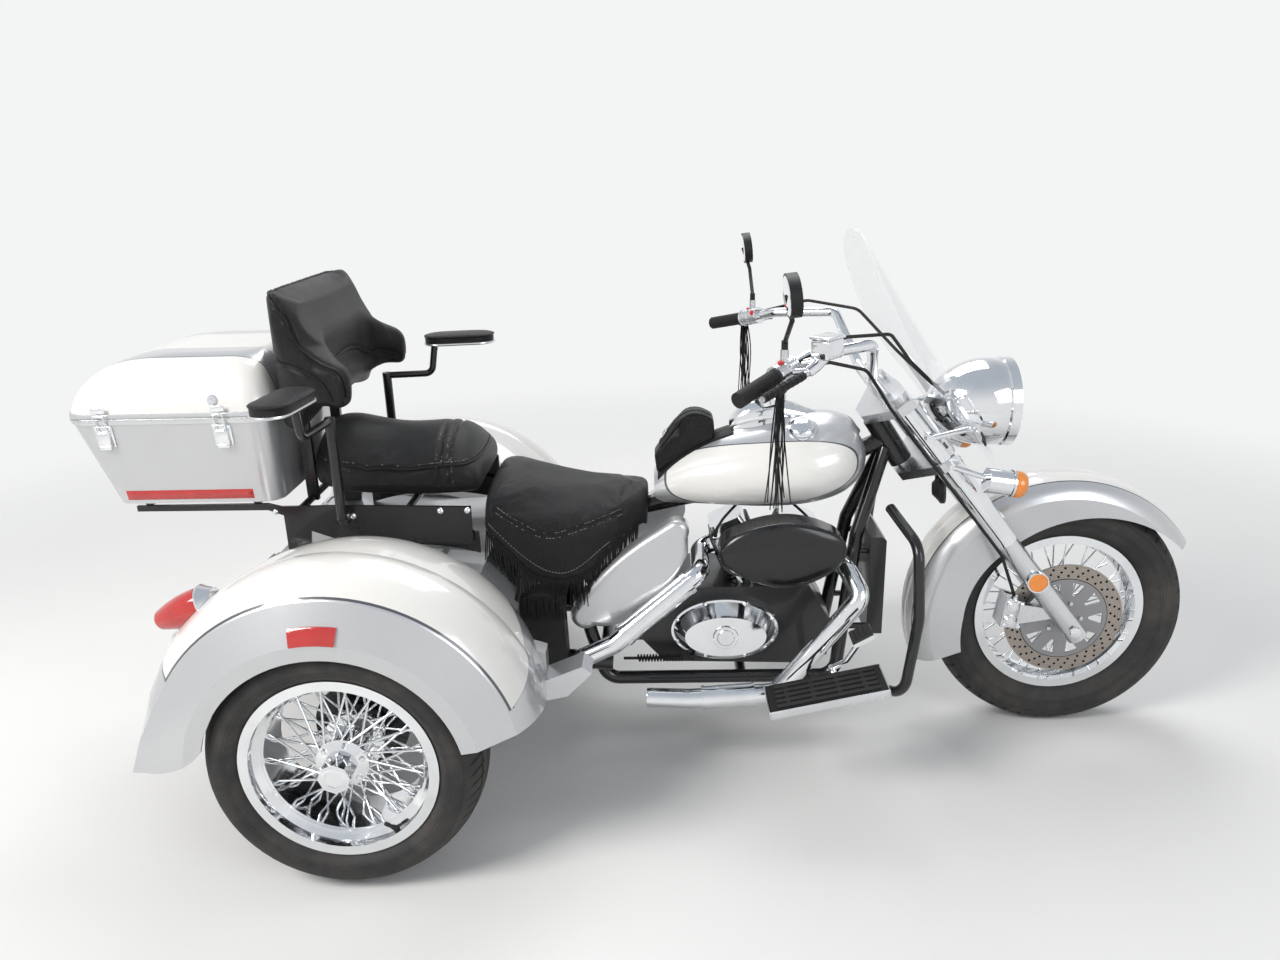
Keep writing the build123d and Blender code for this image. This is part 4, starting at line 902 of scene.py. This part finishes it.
turn, hit = from_right(lid_skin, -1.004, 0.985)
lock = mm((0, 1), (3, 1), (3.5, 4), (10, 4), (12, 2), (12, -2))
lids.append(lathe(lock, hit, turn @ Vector((0, 0, 1)), 32))
build("latches", latches, chrome, "root")
build("lid_keepers", lids, chrome, "case_lid")
forms = []
strip_x, strip_z, long, tall = -1.252, 0.7435, 0.300, 0.024
for side in (-1, 1):
    points = []
    for b in range(5):
        for a in range(31):
            beside = Vector((strip_x + long * a / 30, side * 0.5, strip_z + tall * b / 4))
            hit = case_skin.ray_cast(beside, across * -side)[0]
            lift = 0.003 if 0 < a < 30 and 0 < b < 4 else 0.0004
            points.append(hit + across * side * lift)
    forms.append((points, sheet(31, 5, 1)))
build("case_reflectors", forms, lens_red, "root")

# Floorboards and pedals
# Cast boards with bright edges and rubber treads, and rubber pads on the pedal and shifter.
ribs, edges = [], []
slope = Matrix.Rotation(radians(-12.0), 4, "Y")
for side in (-1, 1):
    for forms, count, x, y, z, dx, dy, dz, size, round_by in (
        (ribs, 5, 0.3705, 0.352, 0.3150, 0, 0.0205, 0, (0.236, 0.011, 0.006), 0.002),
        (ribs, 4, 0.282, 0.393, 0.2953, 0.058, 0, 0.01233, (0.010, 0.092, 0.004), 0.0015),
        (edges, 1, 0.3705, 0.4515, 0.3040, 0, 0, 0, (0.270, 0.004, 0.020), 0.0018),
        (edges, 1, 0.5035, 0.3925, 0.332, 0, 0, 0, (0.004, 0.118, 0.019), 0.0018),
        (edges, 1, 0.2375, 0.3925, 0.2755, 0, 0, 0, (0.004, 0.118, 0.019), 0.0018),
    ):
        for k in range(count):
            place = Matrix.Translation((x + dx * k, side * (y + dy * k), z + dz * k))
            forms.append(block(place @ slope, size, round_by))
tread = Matrix.Translation((0.4575, -0.3275, 0.4165)) @ Matrix.Rotation(radians(-29.5), 4, "Y")
ribs.append(block(tread, (0.052, 0.057, 0.005), 0.002))
for k in range(4):
    rib = tread @ Matrix.Translation((-0.018 + 0.012 * k, 0, 0.003))
    ribs.append(block(rib, (0.006, 0.050, 0.005), 0.0015))
for k in range(5):
    ribs.append(strand([(0.490, y + 0.010 * k, 0.372) for y in (0.326, 0.331)], 0.0145, 20))
build("treads", ribs, rubber, "root")
build("board_edges", edges, alloy, "root")

# Leather goods
# Seats, backrest, arm pads and tank pouch in black leather over foam, sewn in panels with piping.
leather, spot = start("black_leather", Coat_Roughness=0.28, Specular_IOR_Level=0.28)
grain = spot.node("TexVoronoi", {"Vector": spot, "Scale": 430.0}, feature="DISTANCE_TO_EDGE")
crease = spot.noise(26.0, 6.0, 0.7)
rub = spot.noise(5.0, 3.0, 0.5)
wear(
    leather,
    Base_Color=(rub.rise(0.4, 0.8) * 0.6).mix((0.0045, 0.0045, 0.0052), (0.0112, 0.0112, 0.01232)),
    Roughness=rub * 0.18 + 0.34,
    Coat_Weight=0.20 - rub * 0.2,
    Normal=(grain * 5 + crease * 1.5).bump(0.0009, 0.75),
)
thread = mottled("pale_thread", 400.0, (0.20, 0.20, 0.20), (0.34, 0.33, 0.32), Roughness=0.7)[0]
pads = []


def form_of(node):
    """The form of a CAD node."""
    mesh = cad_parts[node].data
    return [v.co.copy() for v in mesh.vertices], [tuple(p.vertices) for p in mesh.polygons]


def settle(piece):
    """Makes what a piece's modifiers give its own mesh."""
    graph = bpy.context.evaluated_depsgraph_get()
    mesh = bpy.data.meshes.new_from_object(piece.evaluated_get(graph))
    piece.modifiers.clear()
    piece.data = mesh


def stuffed(name, form, body, voxel, rounds, inset, cap, held):
    """A pad from a form, rounded off and inset, whose free leather is blown up by at most a cap."""
    piece = build(name, [form], leather, body, 180)
    remesh = piece.modifiers.new("remesh", "REMESH")
    remesh.mode = "VOXEL"
    remesh.voxel_size = voxel
    smooth = piece.modifiers.new("rounded", "SMOOTH")
    smooth.factor = 0.5
    smooth.iterations = rounds
    settle(piece)
    for vertex, move in [(v, v.normal * inset) for v in piece.data.vertices]:
        vertex.co -= move
    group = piece.vertex_groups.new(name="held")
    group.add([v.index for v in piece.data.vertices if held(v.co, v.normal)], 1.0, "REPLACE")
    pads.append((piece, [v.co.copy() for v in piece.data.vertices], cap))
    cloth = piece.modifiers.new("cloth", "CLOTH")
    for key, value in {
        "quality": 4, "mass": 0.4, "tension_stiffness": 12, "compression_stiffness": 12,
        "bending_stiffness": 4, "use_pressure": True, "uniform_pressure_force": 4,
        "vertex_group_mass": "held",
    }.items():
        setattr(cloth.settings, key, value)
    cloth.settings.effector_weights.gravity = 0
    cloth.collision_settings.use_collision = False
    return piece


def blend_at(table, x):
    """A value between the pairs of a table."""
    for (a, low), (b, high) in zip(table, table[1:]):
        if (x - a) * (x - b) <= 0:
            return low + (high - low) * (x - a) / (b - a)
    return table[0][1] if abs(x - table[0][0]) < abs(x - table[-1][0]) else table[-1][1]


flap_half = mm((-34, 90), (-45, 97.5), (-110, 143.5), (-170, 169), (-240, 190.5), (-432, 190.5))
seat_top = mm(
    (-34, 688), (-110, 692), (-180, 692), (-250, 700),
    (-320, 716), (-380, 738), (-415, 733), (-432, 715),
)
flap_low = mm(
    (-34, 630), (-45, 622), (-139, 559), (-165, 524), (-195, 505), (-250, 497),
    (-300, 505), (-330, 526), (-350, 550), (-424, 632), (-432, 640),
)
seat_seam = mm((-50, 688), (-100, 672), (-168, 644), (-275, 618), (-356, 656), (-400, 690))
stitch_line = mm((-110, 585), (-150, 562), (-218, 524), (-282, 527), (-347, 575), (-420, 655))
seat_front, seat_long, stations = -0.034, 0.397, 56
seat_rear = seat_front - seat_long
points = []
for k in range(stations + 1):
    x = seat_front - seat_long * k / stations
    half, high, low = (blend_at(table, x) for table in (flap_half, seat_top, flap_low))
    end = min(1.0, 0.90 + min(x - seat_rear, seat_front - x) / 0.10)
    half = half * end
    high = high - 0.1 * (1 - end)
    marks = [(0, high), (0.40, high - 0.001), (0.70, high - 0.012), (0.90, high - 0.034)]
    marks += [(1, high - 0.075), (1.005, (high - 0.075 + low) / 2), (1, low)]
    outer = through([(0, half * share, z) for share, z in marks], per=5)
    inside = half - 0.009
    ring = [(p.y, p.z) for p in outer] + [(inside, low), (inside, high - 0.090)]
    ring += [(half * 0.80, high - 0.070), (half * 0.4, high - 0.048), (0, high - 0.045)]
    ring += [(-y, z) for y, z in reversed(ring[1:-1])]
    points += [Vector((x, y, z)) for y, z in ring]
saddle_form = points, tube(len(ring), stations + 1, True)


def under_seam(p, n):
    return n.z < 0 or p.z < blend_at(seat_seam, p.x)


def below(height):
    return lambda p, n: p.z < height


def rear_face(p, n):
    return p.x < -0.866 and abs(n.x) > 0.7


def base(p, n):
    return n.z < -0.2


seat_form, back_form, pouch_form = (form_of(node) for node in ("pillion_seat", "backrest", "tank_pouch"))
saddle = stuffed("saddle", saddle_form, "root", 0.0055, 4, 0.001, 0.009, under_seam)
pillion = stuffed("pillion", seat_form, "root", 0.0065, 14, 0.003, 0.012, below(0.740))
back = stuffed("back_pad", back_form, "root", 0.0065, 36, 0.001, 0.018, rear_face)
arm_sizes = 0.0045, 8, 0.002, 0.005, below(1.016)
left_pad = stuffed("left_arm_pad", form_of("arm_pad_left"), "armrest_left", *arm_sizes)
right_pad = stuffed("right_arm_pad", form_of("arm_pad_right"), "armrest_right", *arm_sizes)
pouch = stuffed("pouch", pouch_form, "root", 0.0042, 6, 0.0015, 0.006, base)
nodes = ("rider_seat", "pillion_seat", "backrest", "arm_pad_left", "arm_pad_right", "tank_pouch")
for piece, node in zip((saddle, pillion, back, left_pad, right_pad, pouch), nodes):
    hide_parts(node)
for step in range(1, 21):
    bpy.context.scene.frame_set(step)
for piece, rest, cap in pads:
    settle(piece)
    for vertex, was in zip(piece.data.vertices, rest):
        move = vertex.co - was
        if move.length > cap:
            vertex.co = was + move * (cap / move.length)
    piece.vertex_groups.clear()
    piece.modifiers.new("finer", "SUBSURF").levels = 1
    settle(piece)
    piece.data.polygons.foreach_set("use_smooth", [True] * len(piece.data.polygons))


def trace(on, route, pitch=0.004):
    """Points and normals on a skin, along the smooth line through a route."""
    return [on.find_nearest(p)[:2] for p in through(route, pitch)]


def sew(piece, routes, depth, wide=0.006):
    """Presses a channel along each route into a pad; gives the routes as traced on its skin."""
    on = skin(piece)
    lines = [trace(on, route) for route in routes]
    near = KDTree(sum(len(line) for line in lines))
    for index, (spot, normal) in enumerate(pair for line in lines for pair in line):
        near.insert(spot, index)
    near.balance()
    moves = []
    for vertex in piece.data.vertices:
        gap = near.find(vertex.co)[2]
        if gap < wide * 2.5:
            moves.append((vertex, vertex.normal * depth * exp(-((gap / wide) ** 2))))
    for vertex, move in moves:
        vertex.co -= move
    on = skin(piece)
    return [[on.find_nearest(spot)[:2] for spot, normal in line] for line in lines]


def stitches(line, *asides):
    """Short threads beside a traced line."""
    out, proud, long, r = [], 0.0011, 0.0045, 0.0007
    for aside in asides:
        for k in range(1, len(line) - 2, 2):
            spot, normal = line[k]
            along = (line[k + 1][0] - line[k - 1][0]).normalized()
            foot = spot + normal.cross(along) * aside + normal * proud
            out.append(strand([foot, foot + along * long], r, 5, smooth=False))
    return out


def piping(line, radius=0.0032):
    return strand([spot + normal * 0.0012 for spot, normal in line[::2]], radius, 8, 0.01)


def mirrored(route):
    return [(x, -y, z) for x, y, z in route]


cords, threads = [], []
for line in sew(saddle, [[(x, side * 0.19, z) for x, z in seat_seam] for side in (-1, 1)], 0.003):
    threads += stitches(line, 0.006, -0.006)
saddle_skin = skin(saddle)
for side in (-1, 1):
    threads += stitches(trace(saddle_skin, [(x, side * 0.194, z) for x, z in stitch_line]), 0.0)
loop = mm(
    (-830, 150, 812), (-790, 172, 803), (-640, 178, 800),
    (-500, 172, 803), (-455, 130, 795), (-440, 50, 792),
)
for line in sew(pillion, [mirrored(loop) + loop[::-1]], 0.003):
    cords.append(piping(line, 0.0026))
    threads += stitches(line, 0.009)
over = mm((-178, 745), (-176, 800), (-130, 860), (0, 870), (130, 860), (176, 800), (178, 745))
for line in sew(pillion, [[(x, y, z) for y, z in over] for x in (-0.505, -0.535)], 0.005):
    threads += stitches(line, -0.006, 0.006)
high = mm(
    (-692, -262, 985), (-700, -264, 1036), (-735, -266, 1066), (-790, -264, 1108),
    (-818, -258, 1160), (-850, -235, 1205), (-868, -190, 1222), (-870, -80, 1226),
)
low = mm((-872, 215, 1062), (-848, 240, 1066), (-790, 266, 1049), (-745, 266, 1020), (-728, 266, 985))
lobe = mm((-700, 210, 985), (-745, 150, 1010), (-775, 90, 1035), (-785, 0, 1045))
routes = [high + mirrored(high[::-1]), mirrored(lobe[:-1]) + lobe[::-1], mirrored(low), low]
cords += [piping(line) for line in sew(back, routes, 0.004, 0.008)]
flat = mm((-12, 34, 800), (10, 34, 822), (40, 32, 846), (70, 32, 870), (104, 32, 870), (128, 32, 858))
cords += [piping(line, 0.0022) for line in sew(pouch, [mirrored(flat), flat], 0.0015, 0.003)]
build("seat_piping", cords, leather, "root")
build("seat_stitches", threads, thread, "root")


def stadium(place, radius, z, steps):
    """Points round a long oval whose ends are half circles, at the end of an armrest."""
    middle, half = 0.205, 0.051
    turns = circle(steps, pi / steps)
    oval = [(middle + (half if c > 0 else -half) + radius * c, radius * s) for c, s in turns]
    return [place @ Vector((x, y, z)) for x, y in oval]


plate_section = mm((40, 1008), (44, 1008.5), (45, 1011), (44, 1014), (40, 1014.5))
for side, name, turn, pad in ((1, "left", 8, left_pad), (-1, "right", -95, right_pad)):
    place = Matrix.Translation((-0.750, side * 0.243, 0)) @ Matrix.Rotation(radians(turn), 4, "Z")
    ring = stadium(place, 0.0435, 1.0315, 40)
    line = trace(skin(pad), ring + ring[:1], 0.008)
    build("arm_piping_" + name, [piping(line, 0.002)], leather, "armrest_" + name)
    plate = [p for radius, z in plate_section for p in stadium(place, radius, z, 64)]
    plate = plate, tube(64, len(plate_section), True)
    build("arm_plate_" + name, [plate], alloy, "armrest_" + name)


# Tank bib
# A leather strip with a double sewn border, laid along the top of the tank under the pouch, and
# the strap that holds the pouch's flap with a chromed buckle.
def laid(on, rows, columns, start_x, long, wide, thick):
    """A soft strip dropped on a skin, from its first x, its length and its width."""
    points = []
    for lift in (0.0004, thick):
        for b in range(rows + 1):
            for a in range(columns + 1):
                hit, normal = under(on, start_x + long * (b / rows), (a / columns - 0.5) * wide)
                rim = 0.4 if lift > 0.001 and (a in (0, columns) or b in (0, rows)) else 1
                points.append(hit + normal * lift * rim)
    return points, sheet(columns + 1, rows + 1)


bib_form = laid(tank_skin, 50, 28, -0.008, 0.190, 0.090, 0.0026)
bib = build("tank_bib", [bib_form], leather, "root", 60)
bib_skin, pouch_skin = skin(bib), skin(pouch)
threads = []
for inset in (0.004, 0.013):
    border = through([(x, 0.045 - inset, 1.2) for x in (-0.004, 0.178)], 0.004)
    for side in (-1, 1):
        threads += stitches([under(bib_skin, p.x, side * p.y) for p in border], 0.0)
build("bib_stitches", threads, thread, "root")
strap = laid(pouch_skin, 40, 6, -0.004, 0.130, 0.020, 0.0024)
build("pouch_strap", [strap], leather, "root", 60)
spot, normal = under(pouch_skin, 0.012, 0)
run = across.cross(normal).normalized()
corners = mm((-10, -14), (10, -14), (10, 14), (-10, 14))
ring = [spot + run * a + Vector((0, b, 0)) + normal * 0.004 for a, b in corners]
forms = [strand([a, b], 0.0016, 10) for a, b in zip(ring, ring[1:] + ring[:1])]
prong = [ring[0].lerp(ring[3], 0.5), ring[1].lerp(ring[2], 0.5) + normal * 0.001]
forms.append(strand(prong, 0.0012, 8))
build("buckle", forms, chrome, "root")

# Fringe and tassels
# Cut leather laces: a dense fringe under the saddle's flaps, and a tassel on each hand lever
# below its laced leather sleeve.
random.seed(7)
down = Vector((0, 0, -1))
fringe, tassels = [], []
fringe_front, fringe_rear, lace_pitch = -0.060, -0.424, 0.0034
box_front, box_rear = -0.228, -0.352
for side in (-1, 1):
    x = fringe_front
    while x > fringe_rear:
        edge = blend_at(flap_low, x)
        long = random.uniform(0.066, 0.094)
        drift, out = random.uniform(-0.005, 0.005), random.uniform(0.001, 0.007)
        root = Vector((x, side * (blend_at(flap_half, x) - 0.0045), edge + 0.004))
        if box_rear < x < box_front:
            line = [
                root,
                root + Vector((0, side * 0.008, -0.010)),
                Vector((x + drift, side * (0.222 + out), 0.4845)),
                Vector((x + drift, side * 0.2535, 0.4815)),
                Vector((x + drift * 2, side * 0.2560, 0.518 - long)),
            ]
        else:
            line = [
                root,
                root + Vector((0, side * 0.004, -0.012)),
                root + Vector((drift, side * out, -long * 0.55)),
                root + Vector((drift * 1.6, side * out * 1.2, -long)),
            ]
        fringe.append(strand(line, (0.0021, 0.0013), 5, 0.014))
        x -= lace_pitch
    for index in range(16):
        knot = on_grip(0.052 + 0.0016 * index, side, -0.006, 0.050)
        long = random.uniform(0.225, 0.262)
        sway = [Vector((random.uniform(-r, r * 1.2), random.uniform(-r, r), 0)) for r in (0.010, 0.016)]
        ends = knot + sway[0] + down * 0.09, knot + sway[0] + sway[1] + down * long
        tassels.append(strand([knot - down * 0.014, knot, *ends], (0.0019, 0.0013), 5, 0.02))
    for k in range(17):
        d = -0.006 + 0.0072 * k
        forward = 0.058 - 0.012 * (d + 0.026) / 0.144
        turn = [on_grip(d, side, 0, forward), on_grip(d + 0.0068, side, 0, forward - 0.0006)]
        tassels.append(strand(turn, 0.0092 + 0.0006 * (k % 2), 14))
    knot = [on_grip(0.050, side, -0.008, 0.050), on_grip(0.078, side, -0.008, 0.048)]
    tassels.append(strand(knot, 0.0065, 12))
build("fringe", fringe, leather, "root")
build("tassels", tassels, leather, "steering")

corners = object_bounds()
